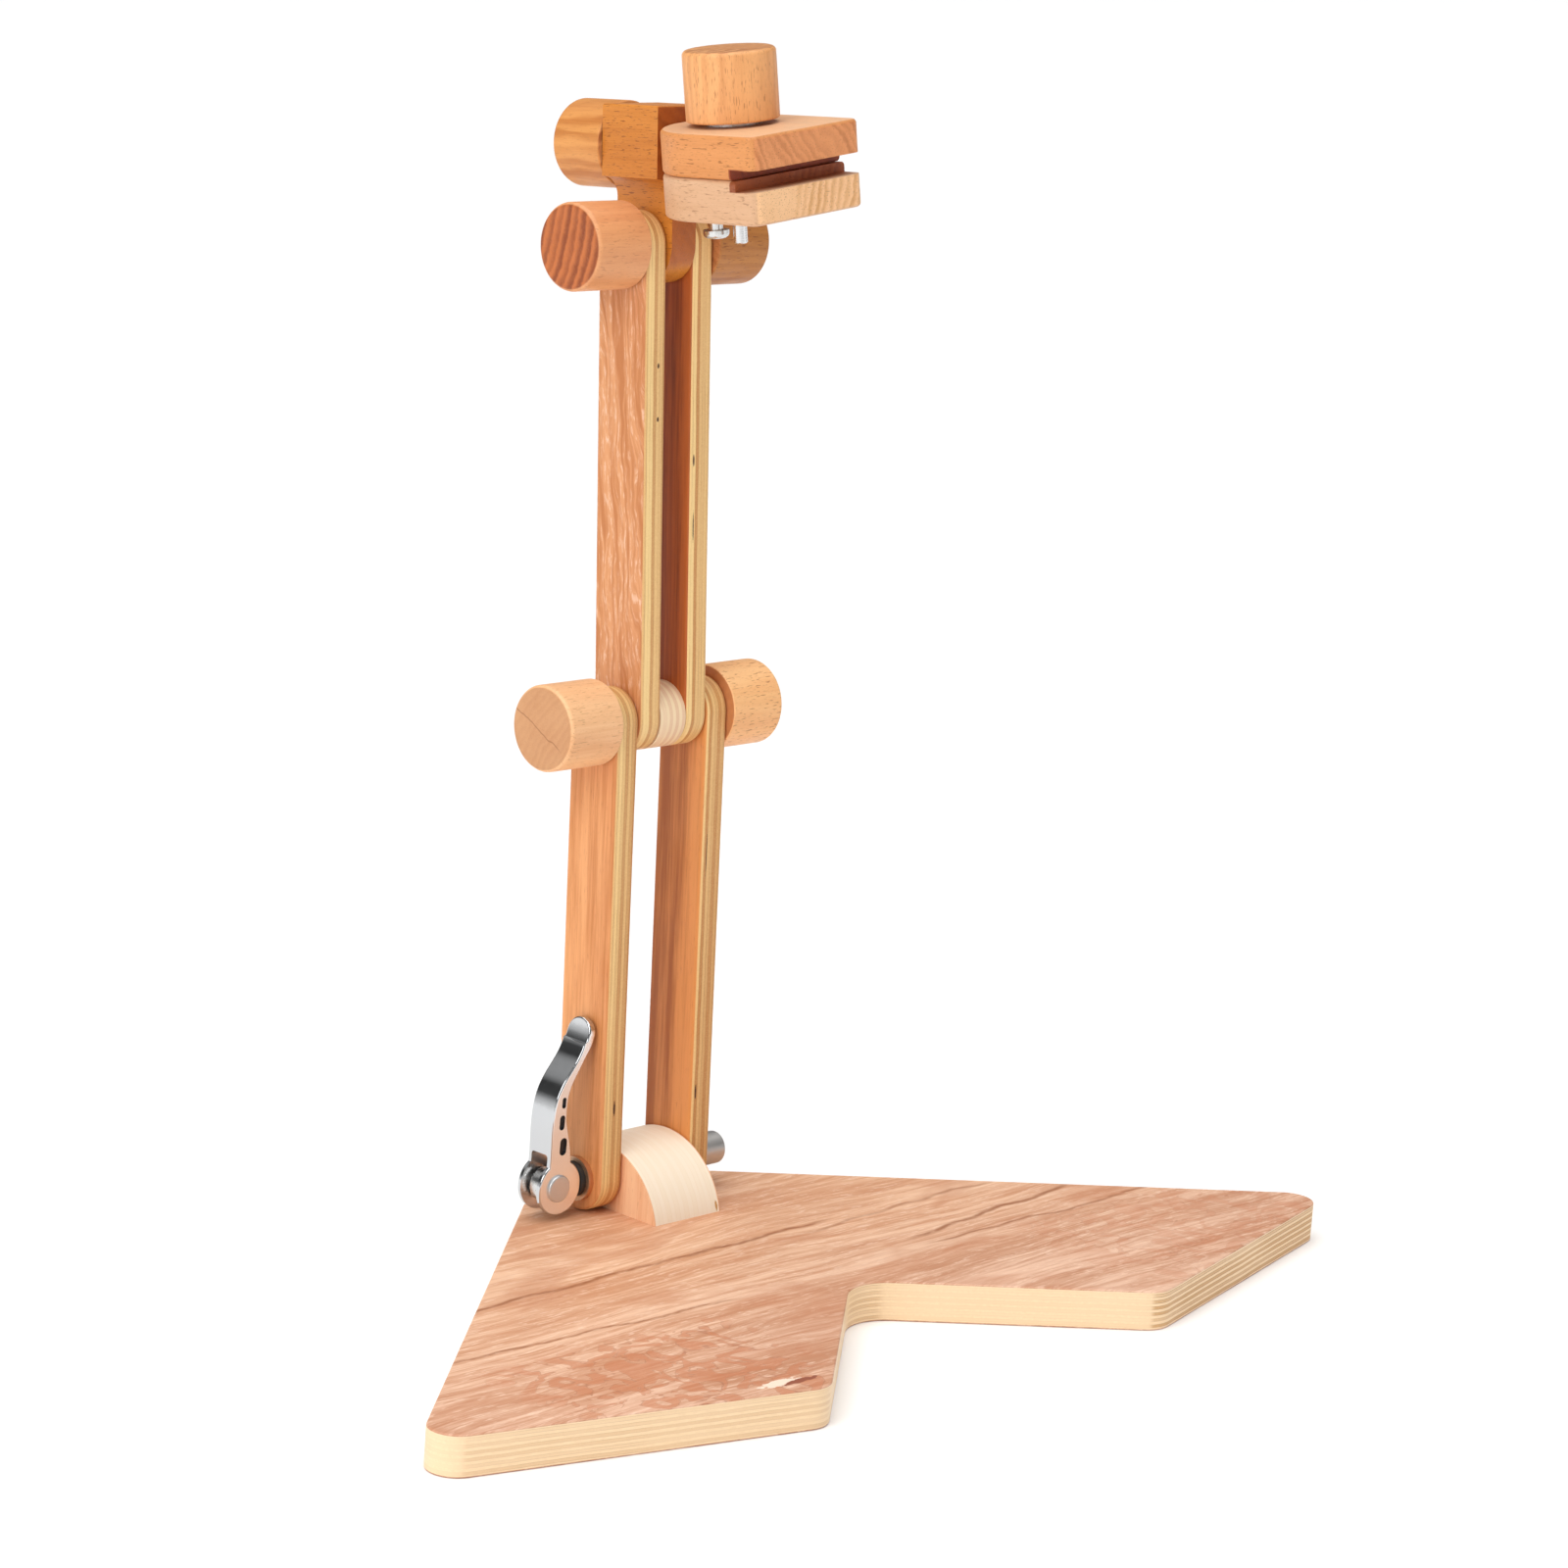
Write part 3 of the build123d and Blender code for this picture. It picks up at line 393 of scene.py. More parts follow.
def figured_face(seed, light, dark, pale):
    """Beech veneer with wavy pale streaks that drift a little across the grain."""

    def face(g, wood, plain):
        leaned = g.place(wood, turn=(radians(5), 0, 0))
        warped = g.noise(leaned, (0.09, 0.09, 0.03), detail=2.0, seed=seed)
        across = g.math("MULTIPLY_ADD", g.math("SUBTRACT", warped, 0.5), 11.0, g.split(leaned)[Y])
        lines = g.join(g.math("MULTIPLY", g.split(leaned)[X], 0.1), across, g.split(leaned)[Z])
        streaks = g.noise(lines, (0.3, 0.42, 0.018), detail=4.0, roughness=0.62, seed=seed + 1)
        flakes = g.noise(lines, (1.1, 1.0, 0.16), detail=3.0, roughness=0.65, seed=seed + 2)
        fibre = g.noise(wood, (1.1, 1.1, 0.05), detail=3.0, seed=seed + 3)
        colour = g.mix(g.step(streaks, 0.36, 0.66), light, dark)
        pale_mask = g.math("MULTIPLY", g.step(flakes, 0.5, 0.68), g.step(streaks, 0.62, 0.40))
        colour = g.mix(g.math("MULTIPLY", pale_mask, 0.85), colour, pale)
        return colour, g.math("MULTIPLY_ADD", fibre, 0.4, g.math("MULTIPLY", pale_mask, 0.4))

    return face


def along_arm(low_pivot, high_pivot):
    return (high_pivot - low_pivot).normalized()


def arm_material(node_name, axis, face, voids, shades, seed):
    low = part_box(node_name)[0]
    return plywood(
        f"{node_name}_plywood", X, low.x * MM_PER_M, ARM_PLY, ARM_PLIES, axis, face,
        ARM_CORES, ARM_LINES, contrast=0.7, voids=voids, seed=seed, shades=shades,
    )


lower_axis = along_arm(HINGE, ELBOW)
upper_axis = along_arm(ELBOW, NECK)
ARM_HALF_WIDTH = 14.75
VOID_DEPTH = 3.0


def arm_middle(node_name):
    low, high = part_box(node_name)
    return (low.x + high.x) / 2 * MM_PER_M


def front_void(node_name, across, height, half_height, half_width=0.6):
    """A gap in one ply, open at an arm's front edge; across is measured from the arm's -X face."""
    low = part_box(node_name)[0]
    start, axis = (HINGE, lower_axis) if node_name.startswith("lower") else (ELBOW, upper_axis)
    rise = height / MM_PER_M - start.z
    front = (start.y + rise * axis.y / axis.z) * MM_PER_M - ARM_HALF_WIDTH
    return (low.x * MM_PER_M + across, front, height), (half_width, VOID_DEPTH, half_height)


arm_materials = {
    "lower_arm_left": arm_material(
        "lower_arm_left", lower_axis, calm_face(2.0, srgb(238, 168, 110), srgb(196, 120, 62)),
        [front_void("lower_arm_left", 6.4, 67.5, 4.2, 0.7)],
        (0.35, 0.10, 0.30, 0.62, 0.34, 0.56, 0.75), 1.0,
    ),
    "lower_arm_right": arm_material(
        "lower_arm_right", lower_axis,
        calm_face(
            5.0, srgb(232, 160, 98), srgb(188, 112, 54),
            # Painted shade: the inner (-X) face darkens towards the back.
            inner=(
                arm_middle("lower_arm_right"), srgb(228, 152, 84), srgb(168, 92, 34), (-16.0, 14.0),
            ),
        ),
        [
            front_void("lower_arm_right", 2.6, 67.0, 4.0),
            front_void("lower_arm_right", 3.2, 176.0, 12.0, 0.3),
        ],
        (0.20, 0.72, 0.36, 0.48, 0.70, 0.52, 0.60), 4.0,
    ),
    "upper_arm_left": arm_material(
        "upper_arm_left", upper_axis,
        figured_face(7.0, srgb(220, 154, 104), srgb(192, 120, 68), srgb(240, 198, 168)),
        [
            front_void("upper_arm_left", 8.2, 394.0, 1.3, 0.7),
            front_void("upper_arm_left", 8.2, 371.0, 1.2, 0.7),
        ],
        (0.40, 0.05, 0.08, 0.62, 0.30, 0.36, 0.66), 7.0,
    ),
    "upper_arm_right": arm_material(
        "upper_arm_right", upper_axis,
        calm_face(
            9.0, srgb(226, 152, 94), srgb(182, 106, 54),
            # Painted shade: the inner (-X) face is much darker, and darkens towards the back.
            inner=(
                arm_middle("upper_arm_right"), srgb(188, 98, 40), srgb(112, 42, 8), (-25.0, 5.0),
            ),
        ),
        [
            front_void("upper_arm_right", 2.6, 352.0, 3.0),
            front_void("upper_arm_right", 2.8, 323.0, 8.0, 0.4),
        ],
        (0.16, 0.06, 0.72, 0.34, 0.38, 0.32, 0.46), 10.0,
    ),
}


# ------------------------------------------------------------------- base board
BASE_PLY = 1.385
BASE_PLIES = 13
# Dark growth lines across the top: y in mm at x = 0, slope, half width, strength, first x, last x.
BASE_LINES = (
    (-73.0, 0.02, 1.0, 0.85, -190, 60),
    (-131.0, -0.06, 0.8, 0.8, -230, -50),
    (-82.0, 0.05, 0.9, 0.55, 20, 170),
    (-122.0, 0.13, 1.1, 0.85, 55, 200),
    (-122.5, 0.0, 0.8, 0.7, 60, 235),
)

# Where the cloudy figure fades in, as (none, full) in mm: x at the ends of the region on each leg,
# y at its back.
CLOUD_OUTER = (-235, -190)
CLOUD_INNER = (-70, -100)
CLOUD_BACK = (-128, -146)
FAR_CLOUD_INNER = (90, 140)
FAR_CLOUD_BACK = (-112, -134)
FAR_CLOUD_STRENGTH = 0.5
# The chip near the inner end of the -X leg and a dark mark beside it: (x, y) and radii, in mm.
CHIP = ((-119.0, -211.5), (13.0, 3.8))
CHIP_DARK_MARK = ((-110.0, -214.0), (9.0, 1.7))


def oval(g, x, y, place):
    """Distance from the centre of an oval, 1 at its rim."""
    centre, radii = place
    across = g.math("MULTIPLY", g.math("SUBTRACT", x, centre[X]), 1 / radii[X])
    along = g.math("MULTIPLY", g.math("SUBTRACT", y, centre[Y]), 1 / radii[Y])
    return g.length(across, along)


def base_face(g, wood, plain):
    """Pinkish veneer with long streaks, a few dark growth lines, cloudy figure and a small chip."""
    x, y = plain[:Z]
    warped = g.noise(wood, (0.02, 0.02, 0.006), detail=2.0, seed=21.0)
    across = g.math("MULTIPLY_ADD", g.math("SUBTRACT", warped, 0.5), 26.0, y)
    flat = g.join(x, across, 0.0)
    broad = g.noise(flat, (0.004, 0.045, 1.0), detail=3.0, roughness=0.55, seed=22.0)
    streaks = g.noise(flat, (0.014, 0.30, 1.0), detail=4.0, roughness=0.65, seed=23.0)
    fine = g.noise(flat, (0.05, 0.95, 1.0), detail=3.0, roughness=0.6, seed=24.0)
    dashes = g.noise(flat, (0.13, 0.85, 1.0), detail=2.0, roughness=0.6, seed=25.0)
    shade = g.math("MULTIPLY_ADD", streaks, 0.6, g.math("MULTIPLY", broad, 0.55))
    shade = g.math("MULTIPLY_ADD", fine, 0.3, shade)
    near_hinge = g.step(y, -190, -40)
    light = g.mix(near_hinge, srgb(236, 195, 167), srgb(240, 197, 162))
    deep = g.mix(near_hinge, srgb(194, 137, 104), srgb(208, 150, 112))
    colour = g.mix(g.step(shade, 0.54, 0.88), light, deep)
    pale = g.math("MULTIPLY", g.step(dashes, 0.54, 0.70), 0.55)
    colour = g.mix(pale, colour, srgb(246, 212, 186))
    blotch = g.noise(flat, (0.012, 0.028, 1.0), detail=3.0, distortion=0.8, seed=26.0)
    colour = g.mix(g.math("MULTIPLY", g.step(blotch, 0.52, 0.66), 0.4), colour, srgb(190, 122, 84))

    wiggle = g.noise(g.join(x, 0.0, 0.0), (0.02, 1.0, 1.0), detail=3.0, seed=27.0)
    ragged = g.noise(flat, (0.12, 0.6, 1.0), detail=2.0, seed=28.0)
    line_height = 0.0
    for at_x0, slope, half_width, strength, first, last in BASE_LINES:
        middle = g.math("MULTIPLY_ADD", x, slope, at_x0)
        middle = g.math("MULTIPLY_ADD", g.math("SUBTRACT", wiggle, 0.5), 16.0, middle)
        away = g.math("ABSOLUTE", g.math("SUBTRACT", y, middle))
        line = g.step(away, half_width * 2.2, half_width * 0.2)
        line = g.math("MULTIPLY", line, g.step(x, first, first + 25))
        line = g.math("MULTIPLY", line, g.step(x, last, last - 25))
        line = g.math("MULTIPLY", line, g.step(ragged, 0.25, 0.6, 0.45, 1.0))
        colour = g.mix(g.math("MULTIPLY", line, strength), colour, srgb(152, 90, 50))
        line_height = g.math("MULTIPLY_ADD", line, -0.6, line_height)

    # Cloudy figure on both legs, fainter on the +X leg.
    swirl = g.noise(flat, (0.05, 0.06, 1.0), detail=2.0, distortion=1.6, seed=31.0)
    region = g.math("MULTIPLY", g.step(x, *CLOUD_OUTER), g.step(x, *CLOUD_INNER))
    region = g.math("MULTIPLY", region, g.step(y, *CLOUD_BACK))
    far_back = g.step(y, *FAR_CLOUD_BACK, 0.0, FAR_CLOUD_STRENGTH)
    far_leg = g.math("MULTIPLY", g.step(x, *FAR_CLOUD_INNER), far_back)
    region = g.math("MAXIMUM", region, far_leg)
    cloud = g.math("MULTIPLY", g.step(swirl, 0.50, 0.56), region)
    colour = g.mix(g.math("MULTIPLY", cloud, 0.6), colour, srgb(196, 122, 84))
    from_rim = g.math("ABSOLUTE", g.math("SUBTRACT", swirl, 0.52))
    rim = g.math("MULTIPLY", g.step(from_rim, 0.02, 0.0), region)
    colour = g.mix(g.math("MULTIPLY", rim, 0.45), colour, srgb(158, 92, 62))

    ragged_edge = g.noise(g.join(x, y, 0.0), (0.28, 0.5, 1.0), detail=2.0, seed=33.0)
    chip = g.step(g.math("MULTIPLY_ADD", ragged_edge, 1.3, oval(g, x, y, CHIP)), 1.50, 1.36)
    # A dark mark beside the chip.
    dark_mark = g.step(g.math("MULTIPLY_ADD", ragged_edge, 1.3, oval(g, x, y, CHIP_DARK_MARK)), 1.80, 1.60)
    colour = g.mix(chip, colour, srgb(248, 222, 200))
    colour = g.mix(dark_mark, colour, srgb(150, 84, 60))

    height = g.math("MULTIPLY_ADD", fine, 0.5, g.math("MULTIPLY", dashes, 0.3))
    height = g.math("ADD", height, line_height)
    return colour, g.math("MULTIPLY_ADD", chip, -1.2, height)


def base_end_contrast(g, plain):
    """Ply lines are strong on the +X leg's end, weaker on the -X leg's, and faint in the notch."""
    notch = g.step(g.facing((1.0, 0.0, 0.0)), 0.35, 0.55)
    by_side = g.step(plain[X], -60.0, 190.0, 0.5, 1.5)
    front = g.step(plain[Y], -120.0, -100.0)
    strength = g.between(notch, by_side, 0.22)
    return g.between(front, strength, 0.8)


base_material = plywood(
    "base_board_plywood", Z, 0.0, BASE_PLY, BASE_PLIES, (1, 0.05, 0), base_face,
    (srgb(250, 220, 180), srgb(214, 168, 118)), srgb(172, 122, 78), contrast=1.1,
    face_ply=0.7, seed=40.0, end_contrast=base_end_contrast,
)

# ------------------------------------------------------- pivot block and spacer
BLOCK_PLY = 2.7
BLOCK_PLIES = 15
BLOCK_VOID = (38.6, -35.5, 20.5)     # x from the block's -X face, y, z
SPACER_PLY = 1.9
SPACER_PLIES = 8

block_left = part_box("pivot_block")[0].x * MM_PER_M
block_material = plywood(
    "pivot_block_plywood", X, block_left, BLOCK_PLY, BLOCK_PLIES, (0, 0, 1),
    calm_face(51.0, srgb(252, 206, 164), srgb(234, 172, 126)),
    (srgb(254, 239, 216), srgb(246, 226, 194)), srgb(236, 210, 170), contrast=0.35,
    voids=[((block_left + BLOCK_VOID[X], *BLOCK_VOID[Y:]), (0.9, 3.0, 3.0))],
    void_colour=srgb(206, 156, 92), seed=50.0,
)
spacer_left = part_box("elbow_spacer")[0].x * MM_PER_M
spacer_material = plywood(
    "elbow_spacer_plywood", X, spacer_left, SPACER_PLY, SPACER_PLIES, (0, 0, 1),
    calm_face(61.0, srgb(246, 226, 190), srgb(230, 200, 156)),
    (srgb(248, 222, 184), srgb(228, 184, 146)), srgb(214, 160, 124), contrast=0.8,
    face_ply=0.3, seed=60.0,
)

# ------------------------------------------------------------------ solid beech
# The crack in the left elbow knob, in mm from the elbow's pivot: slope and z at y = 0, the y's
# between which it begins, and the x's between which it fades in towards the knob's outer end.
CRACK_SLOPE = 0.49
CRACK_HEIGHT = -1.4
CRACK_START = (-13.0, -10.0)
CRACK_DEPTH = (-50.0, -52.0)


def drying_check(g, colour):
    """A hairline crack across the outer end of the left elbow knob."""
    x, y, z = g.split(g.millimetres(origin=ELBOW))
    wave = g.noise(g.join(0.0, y, 0.0), (1.0, 0.09, 1.0), detail=2.0, seed=95.0)
    middle = g.math("MULTIPLY_ADD", y, CRACK_SLOPE, CRACK_HEIGHT)
    middle = g.math("MULTIPLY_ADD", g.math("SUBTRACT", wave, 0.5), 5.0, middle)
    line = g.step(g.math("ABSOLUTE", g.math("SUBTRACT", z, middle)), 0.5, 0.1)
    line = g.math("MULTIPLY", line, g.step(y, *CRACK_START))
    line = g.math("MULTIPLY", line, g.step(x, *CRACK_DEPTH))
    line = g.math("MULTIPLY", line, g.step(g.facing((1, 0, 0)), 0.75, 0.95))
    return g.mix(g.math("MULTIPLY", line, 0.55), colour, srgb(134, 76, 38))


knob_materials = {
    "elbow_knob_left": beech(
        "elbow_knob_left_beech", (1, 0, 0), ELBOW, (34, -48), 3.4,
        srgb(250, 200, 150), srgb(222, 152, 98),
        srgb(208, 154, 108), srgb(178, 116, 70), ring_contrast=0.14, fleck=0.5, seed=1.0,
        shade=drying_check,
    ),
    "elbow_knob_right": beech(
        "elbow_knob_right_beech", (1, 0, 0), ELBOW, (-70, 20), 4.2,
        srgb(255, 202, 142), srgb(232, 156, 96),
        srgb(206, 136, 84), srgb(178, 104, 56), ring_contrast=0.12, fleck=0.9, seed=7.0,
    ),
    "neck_knob_left": beech(
        "neck_knob_left_beech", (1, 0, 0), NECK, (-20, 85), 4.7,
        srgb(232, 168, 116), srgb(204, 128, 78),
        srgb(200, 112, 56), srgb(130, 58, 20), ring_contrast=0.7, fleck=0.4, wave=0.9, seed=13.0,
    ),
    "neck_knob_right": beech(
        "neck_knob_right_beech", (1, 0, 0), NECK, (60, 30), 4.0,
        srgb(194, 130, 64), srgb(152, 86, 32),
        srgb(206, 136, 84), srgb(160, 92, 48), ring_contrast=0.4, side_rings=0.6, fleck=0.7,
        seed=19.0,
    ),
    "swivel_knob": beech(
        "swivel_knob_beech", SWIVEL_AXIS, SWIVEL, (0, 62), 5.6,
        srgb(224, 156, 86), srgb(190, 116, 52),
        srgb(216, 156, 100), srgb(170, 106, 62), ring_contrast=0.7, side_rings=0.6, fleck=0.3,
        seed=23.0,
    ),
    "clamp_knob": beech(
        "clamp_knob_beech", CLAMP_AXIS, SWIVEL, (-16, -96), 5.2,
        srgb(242, 178, 116), srgb(206, 134, 76),
        srgb(222, 160, 102), srgb(178, 110, 62), ring_contrast=0.6, side_rings=0.4, fleck=0.6,
        wave=4.0, seed=29.0,
    ),
}
neck_material = beech(
    "neck_block_beech", SWIVEL_AXIS, NECK, (-90, 60), 5.0, srgb(214, 136, 52), srgb(174, 94, 22),
    srgb(182, 100, 40), srgb(134, 64, 18), ring_contrast=0.25, fleck=0.9, seed=31.0,
)
# The clamp's mouth in mm from the swivel's pivot, with the clamp's axis turned onto z: its bottom and
# top z, the y of its back wall, and the y's between which its painted shade grows.
MOUTH_HEIGHT = (-12.0, -2.4)
MOUTH_BACK = -76.0
MOUTH_SHADE = (-90.5, -80.0)


def paint_top_light_and_mouth_shade(g, colour):
    """Painted light that pales the top and bottom faces, and painted shade that darkens the mouth
    inwards.
    """
    # Painted light: faces square to the clamp's axis, top and bottom, turn paler.
    painted_top_light = g.step(g.facing(CLAMP_AXIS), 0.90, 0.98)
    colour = g.mix(g.math("MULTIPLY", painted_top_light, 0.45), colour, srgb(254, 222, 186))
    y, z = g.split(g.millimetres(turn=turn_onto_z(CLAMP_AXIS), origin=SWIVEL))[Y:]
    bottom, top = MOUTH_HEIGHT
    inside = g.math(
        "MULTIPLY",
        g.step(z, bottom - 0.3, bottom + 0.3),
        g.step(z, top + 0.3, top - 0.3),
    )
    inside = g.math("MULTIPLY", inside, g.step(y, MOUTH_BACK + 0.5, MOUTH_BACK - 0.2))
    # Painted shade: the mouth darkens towards its back wall.
    depth = g.math("MULTIPLY", inside, g.step(y, *MOUTH_SHADE))
    return g.mix(depth, colour, g.mix(1.0, colour, srgb(176, 118, 84), blend="MULTIPLY"))


upper_jaw_material = beech(
    "upper_jaw_beech", SWIVEL_AXIS, SWIVEL, (58, -44), 4.4, srgb(224, 152, 90), srgb(194, 120, 60),
    srgb(232, 154, 98), srgb(186, 108, 58), ring_contrast=0.34, side_rings=0.15, fleck=0.8,
    wave=4.0, seed=37.0, shade=paint_top_light_and_mouth_shade,
)
lower_jaw_material = beech(
    "lower_jaw_beech", SWIVEL_AXIS, SWIVEL, (150, 40), 4.0, srgb(220, 176, 138), srgb(196, 144, 102),
    srgb(252, 202, 152), srgb(212, 148, 84), ring_contrast=0.38, side_rings=0.1, fleck=0.7, seed=41.0,
    ring_area=(-12, 2), shade=paint_top_light_and_mouth_shade,
)


# ----------------------------------------------------------------------- metals
def metal(name, colour, roughness, spread=0.06, brush=None, thread=None):
    """Metal with faint uneven polish.

    brush is the direction of its marks, thread the (axis, origin, pitch) of a screw thread.
    """
    g = Graph(name)
    place = g.millimetres()
    cloud = g.noise(place, (0.4, 0.4, 0.4), detail=3.0, seed=71.0)
    g.set(
        Base_Color=colour,
        Metallic=1.0,
        Roughness=g.step(cloud, 0.3, 0.7, roughness - spread / 2, roughness + spread / 2),
    )
    if brush is not None:
        turned = g.millimetres(turn=turn_onto_z(brush))
        lines = g.noise(turned, (9.0, 9.0, 0.25), detail=2.0, seed=72.0)
        g.bump(lines, BRUSH_RELIEF, 0.5)
    if thread is not None:
        axis, origin, pitch = thread
        turned = g.split(g.millimetres(turn=turn_onto_z(axis), origin=origin))
        angle = g.math("ARCTAN2", turned[Y], turned[X])
        rise = g.math("MULTIPLY_ADD", angle, 1 / tau, g.math("DIVIDE", turned[Z], pitch))
        g.bump(g.math("PINGPONG", rise, 0.5), THREAD_RELIEF, 0.3)
    return g.material


LEVER_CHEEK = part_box("cam_lever")[1].y * MM_PER_M


def lever_chrome():
    """Polished chrome with softer cheeks and blackened hollows in them."""
    g = Graph("lever_chrome")
    place = g.millimetres()
    across = g.math("ABSOLUTE", g.split(place)[Y])
    cheek = g.step(g.facing((0, 1, 0)), 0.90, 0.98)
    hollow = g.math(
        "MULTIPLY",
        g.step(across, LEVER_CHEEK - 0.3, LEVER_CHEEK - 0.6),
        g.step(across, LEVER_CHEEK - 1.5, LEVER_CHEEK - 1.3),
    )
    hollow = g.math("MULTIPLY", cheek, hollow)
    polished = g.mix(cheek, (0.60, 0.61, 0.62, 1), (0.92, 0.92, 0.92, 1))
    cloud = g.noise(place, (0.3, 0.3, 0.3), detail=3.0, seed=74.0)
    g.set(
        Base_Color=g.mix(hollow, polished, (0.045, 0.045, 0.05, 1)),
        Metallic=1.0,
        Roughness=g.between(cheek, g.step(cloud, 0.3, 0.7, 0.08, 0.13), 0.27),
    )
    return g.material


chrome = lever_chrome()
satin_chrome = metal("satin_chrome", (0.66, 0.66, 0.66, 1), 0.38)
aluminium = metal("nut_aluminium", (0.58, 0.56, 0.54, 1), 0.42, spread=0.1, brush=(1, 0, 0))
zinc = metal("zinc_steel", (0.66, 0.66, 0.65, 1), 0.24, spread=0.12)
brass = metal("brass", (0.78, 0.58, 0.27, 1), 0.3)
CLAMP_PITCH = 1.0
clamp_thread = metal(
    "clamp_bolt_steel", (0.70, 0.70, 0.70, 1), 0.2, thread=(CLAMP_AXIS, SWIVEL, CLAMP_PITCH)
)
# Brown metal for the saddle washer.
saddle_washer = metal("saddle_washer_brown_metal", (0.72, 0.47, 0.30, 1), 0.4)


def plain_plastic(name, colour, roughness, grain=3.0):
    g = Graph(name)
    place = g.millimetres()
    fine = g.noise(place, (grain,) * 3, detail=3.0, seed=81.0)
    broad = g.noise(place, (0.2,) * 3, detail=2.0, seed=82.0)
    lighter = tuple(min(1.0, value * 1.25 + 0.004) for value in colour[:3]) + (1.0,)
    g.set(
        Base_Color=g.mix(broad, colour, lighter),
        Roughness=g.step(fine, 0.3, 0.7, roughness - 0.05, roughness + 0.05),
    )
    g.bump(fine, PLASTIC_RELIEF, 0.5)
    return g.material


black_plastic = plain_plastic("black_plastic", srgb(30, 29, 29), 0.42)
fibre = plain_plastic("fibre_washer", srgb(96, 78, 62), 0.75, grain=2.0)

# -------------------------------------------------------------------- assigning
finishes = {
    "base_board": base_material,
    "pivot_block": block_material,
    "elbow_spacer": spacer_material,
    "neck_block": neck_material,
    "upper_jaw": upper_jaw_material,
    "lower_jaw": lower_jaw_material,
    "cam_lever": chrome,
    "lever_pin": satin_chrome,
    "skewer_nut": aluminium,
    "skewer_saddle": black_plastic,
    "skewer_saddle_washer": saddle_washer,
    "clamp_bolt": clamp_thread,
    **arm_materials,
    **knob_materials,
}
for name in ("pivot_washers", "elbow_washers", "neck_washers", "swivel_washer"):
    finishes[name] = fibre
for name in nodes:
    if "insert" in name:
        finishes[name] = brass
for name, node in nodes.items():
    material = finishes.get(name, zinc)
    node.data.materials.clear()
    node.data.materials.append(material)


# ------------------------------------------------------------------------ stage
FLOOR_HALF = 20.0


def make_floor():
    mesh = bpy.data.meshes.new("floor")
    signs = ((-1, -1), (1, -1), (1, 1), (-1, 1))
    corners = [(x * FLOOR_HALF, y * FLOOR_HALF, 0) for x, y in signs]
    mesh.from_pydata(corners, [], [(0, 1, 2, 3)])
    floor = bpy.data.objects.new("floor", mesh)
    bpy.context.scene.collection.objects.link(floor)
    g = Graph("floor")
    grain = g.noise(g.coordinates.outputs["Object"], (3.0, 3.0, 3.0), detail=2.0)
    g.set(
        Base_Color=g.mix(grain, (0.96, 0.96, 0.96, 1), (0.97, 0.97, 0.97, 1)),
        Roughness=0.9,
        Specular_IOR_Level=0.1,
    )
    mesh.materials.append(g.material)


def aim(item, target):
    item.rotation_mode = "QUATERNION"
    item.rotation_quaternion = (Vector(target) - item.location).to_track_quat("-Z", "Y")


def make_light(name, place, target, size, power):
    data = bpy.data.lights.new(name, "AREA")
    data.shape = "SQUARE"
    data.size = size
    data.energy = power
    light = bpy.data.objects.new(name, data)
    light.location = place
    bpy.context.scene.collection.objects.link(light)
    aim(light, target)


# Brightness of the studio by elevation for mirror reflections: (sine of the elevation, strength).
STUDIO_BANDS = (
    (0.00, 0.90), (0.10, 0.60), (0.19, 0.25), (0.27, 0.07), (0.48, 0.05),
    (0.57, 0.38), (0.66, 0.50), (0.75, 0.12), (1.00, 0.30),
)


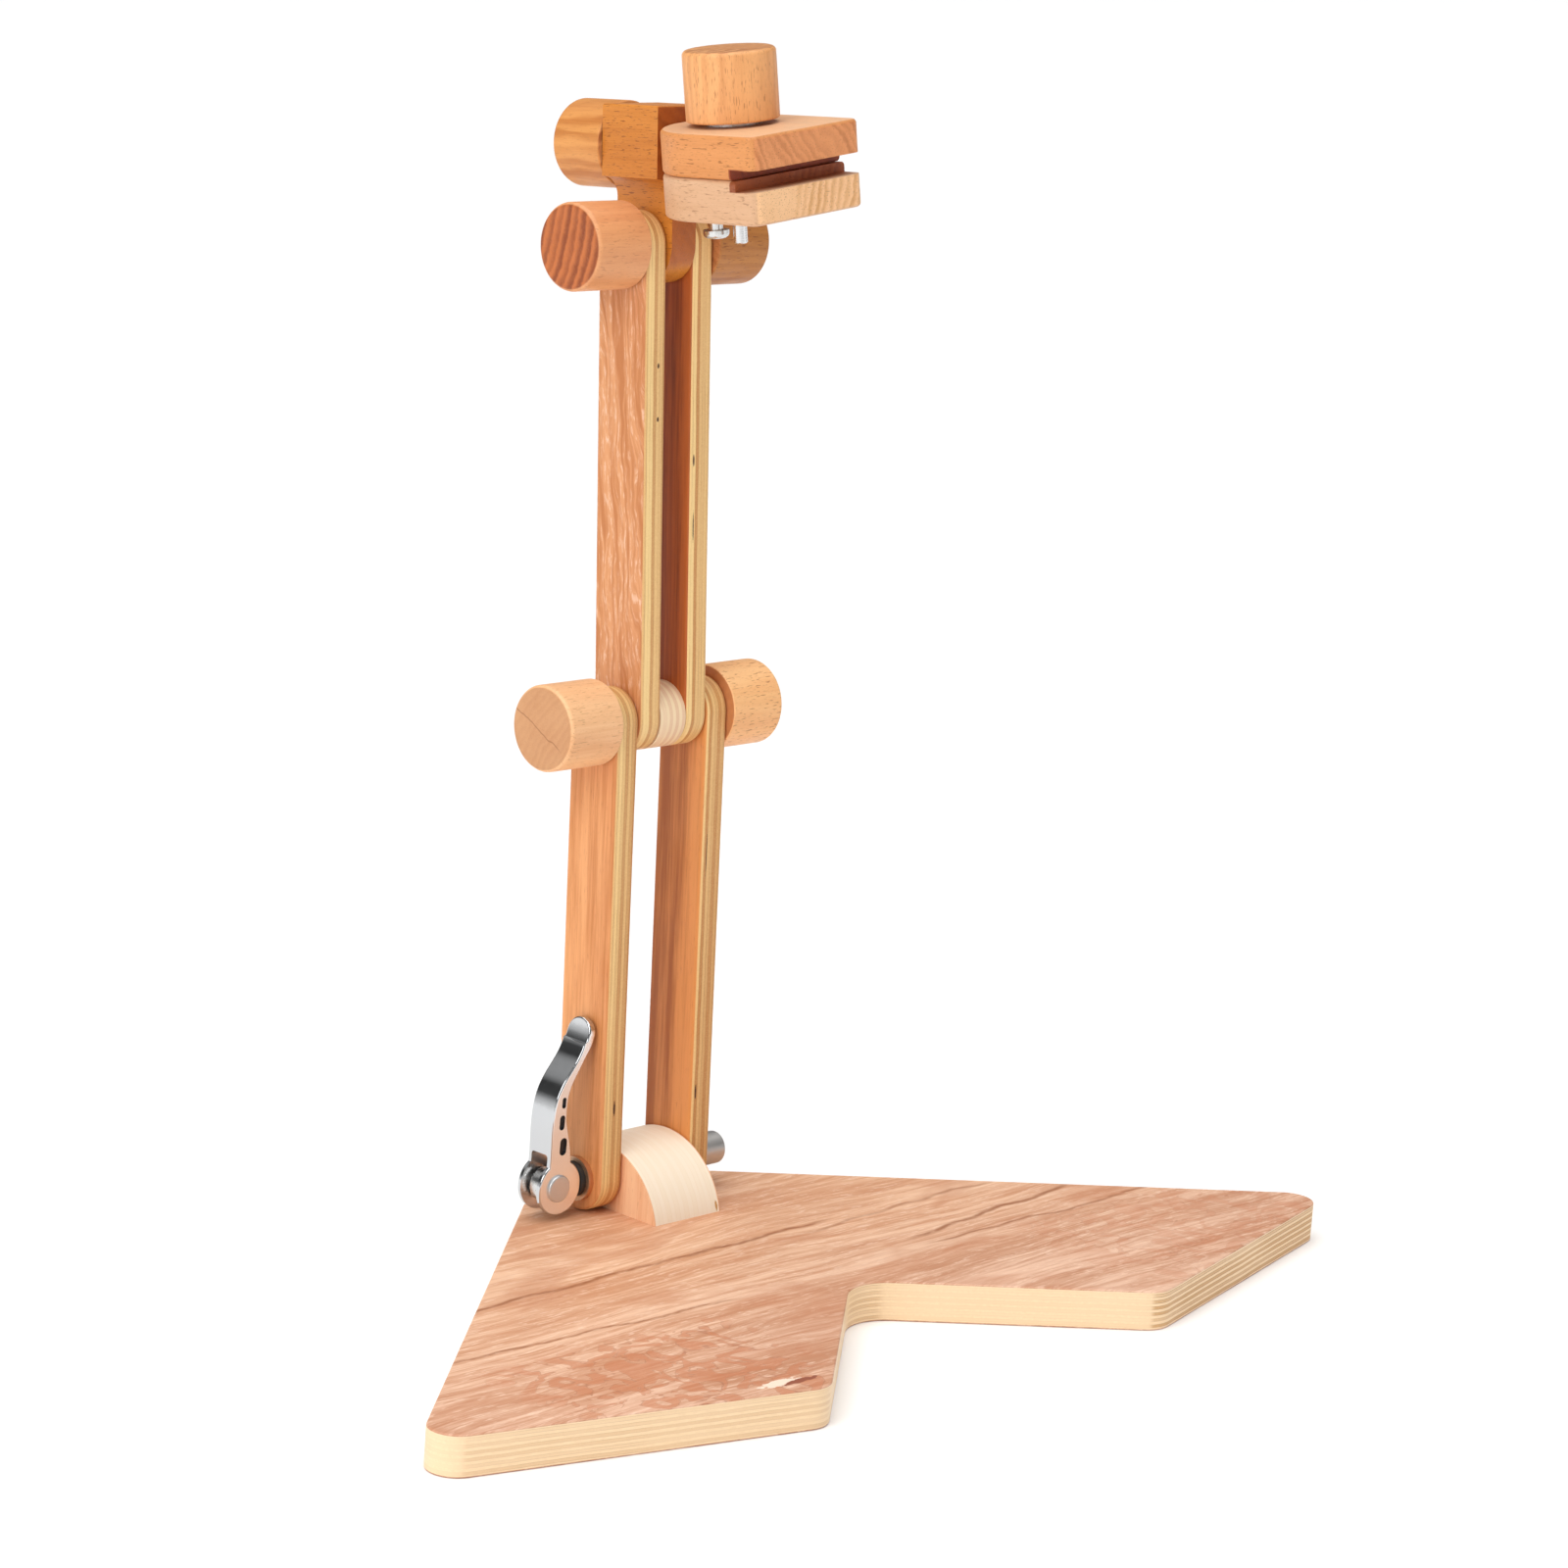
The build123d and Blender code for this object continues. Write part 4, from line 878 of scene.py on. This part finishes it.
def make_world():
    """Soft light, brighter towards -X; mirrors see bands by elevation, the camera sees white."""
    world = bpy.data.worlds.new("studio")
    world.use_nodes = True
    bpy.context.scene.world = world
    tree = world.node_tree
    direction = tree.nodes.new("ShaderNodeTexCoord").outputs["Generated"]
    parts = tree.nodes.new("ShaderNodeSeparateXYZ")
    tree.links.new(direction, parts.inputs[0])

    side = tree.nodes.new("ShaderNodeMapRange")
    tree.links.new(parts.outputs[X], side.inputs["Value"])
    side.inputs["From Min"].default_value = 0.1
    side.inputs["From Max"].default_value = -1.0
    side.inputs["To Min"].default_value = 0.30
    side.inputs["To Max"].default_value = 0.98
    soft = tree.nodes.new("ShaderNodeBackground")
    tree.links.new(side.outputs[0], soft.inputs["Strength"])

    bands = tree.nodes.new("ShaderNodeValToRGB")
    elements = bands.color_ramp.elements
    while len(elements) < len(STUDIO_BANDS):
        elements.new(0.5)
    for element, (position, strength) in zip(elements, STUDIO_BANDS):
        element.position = position
        element.color = (strength, strength, strength, 1.0)
    tree.links.new(parts.outputs[Z], bands.inputs[0])
    mirrored = tree.nodes.new("ShaderNodeBackground")
    tree.links.new(bands.outputs["Color"], mirrored.inputs["Color"])

    seen = tree.nodes.new("ShaderNodeBackground")
    seen.inputs["Color"].default_value = (1.0, 1.0, 1.0, 1.0)
    rays = tree.nodes.new("ShaderNodeLightPath")
    below = soft.outputs[0]
    for ray, above in (("Is Glossy Ray", mirrored), ("Is Camera Ray", seen)):
        choice = tree.nodes.new("ShaderNodeMixShader")
        tree.links.new(rays.outputs[ray], choice.inputs[0])
        tree.links.new(below, choice.inputs[1])
        tree.links.new(above.outputs[0], choice.inputs[2])
        below = choice.outputs[0]
    tree.links.new(below, tree.nodes["World Output"].inputs["Surface"])


def make_sun():
    """Even, very soft light from straight above that keeps the floor white to the horizon."""
    data = bpy.data.lights.new("overhead", "SUN")
    data.energy = 2.2
    data.angle = radians(70)
    sun = bpy.data.objects.new("overhead", data)
    bpy.context.scene.collection.objects.link(sun)


CAMERA_PLACE = (-1.46939, -1.47363, 0.67915)
CAMERA_FORWARD = (0.70641, 0.66749, -0.23545)
CAMERA_RIGHT = (0.69746, -0.71311, 0.07094)
CAMERA_LENS = 111.2
CAMERA_SHIFT = (-0.0053, 0.0537)


def make_camera():
    """The camera looks along +X and +Y from a little above, with a slight roll."""
    data = bpy.data.cameras.new("camera")
    data.sensor_width = 36.0
    data.lens = CAMERA_LENS
    data.shift_x, data.shift_y = CAMERA_SHIFT
    data.clip_start = 0.05
    data.clip_end = 50.0
    camera = bpy.data.objects.new("camera", data)
    bpy.context.scene.collection.objects.link(camera)
    forward = Vector(CAMERA_FORWARD).normalized()
    right = Vector(CAMERA_RIGHT)
    right = (right - forward * right.dot(forward)).normalized()
    up = right.cross(forward)
    turn = Matrix((right, up, -forward)).transposed()
    camera.matrix_world = Matrix.Translation(CAMERA_PLACE) @ turn.to_4x4()
    bpy.context.scene.camera = camera


make_floor()
make_world()
middle = (cad_low + cad_high) / 2
make_sun()
make_light("key", place=(-1.9, -0.4, 1.3), target=middle, size=1.2, power=16)
make_light("fill", place=(0.9, -1.7, 0.9), target=middle, size=1.2, power=2)
make_camera()
bpy.context.scene.view_settings.view_transform = "Standard"
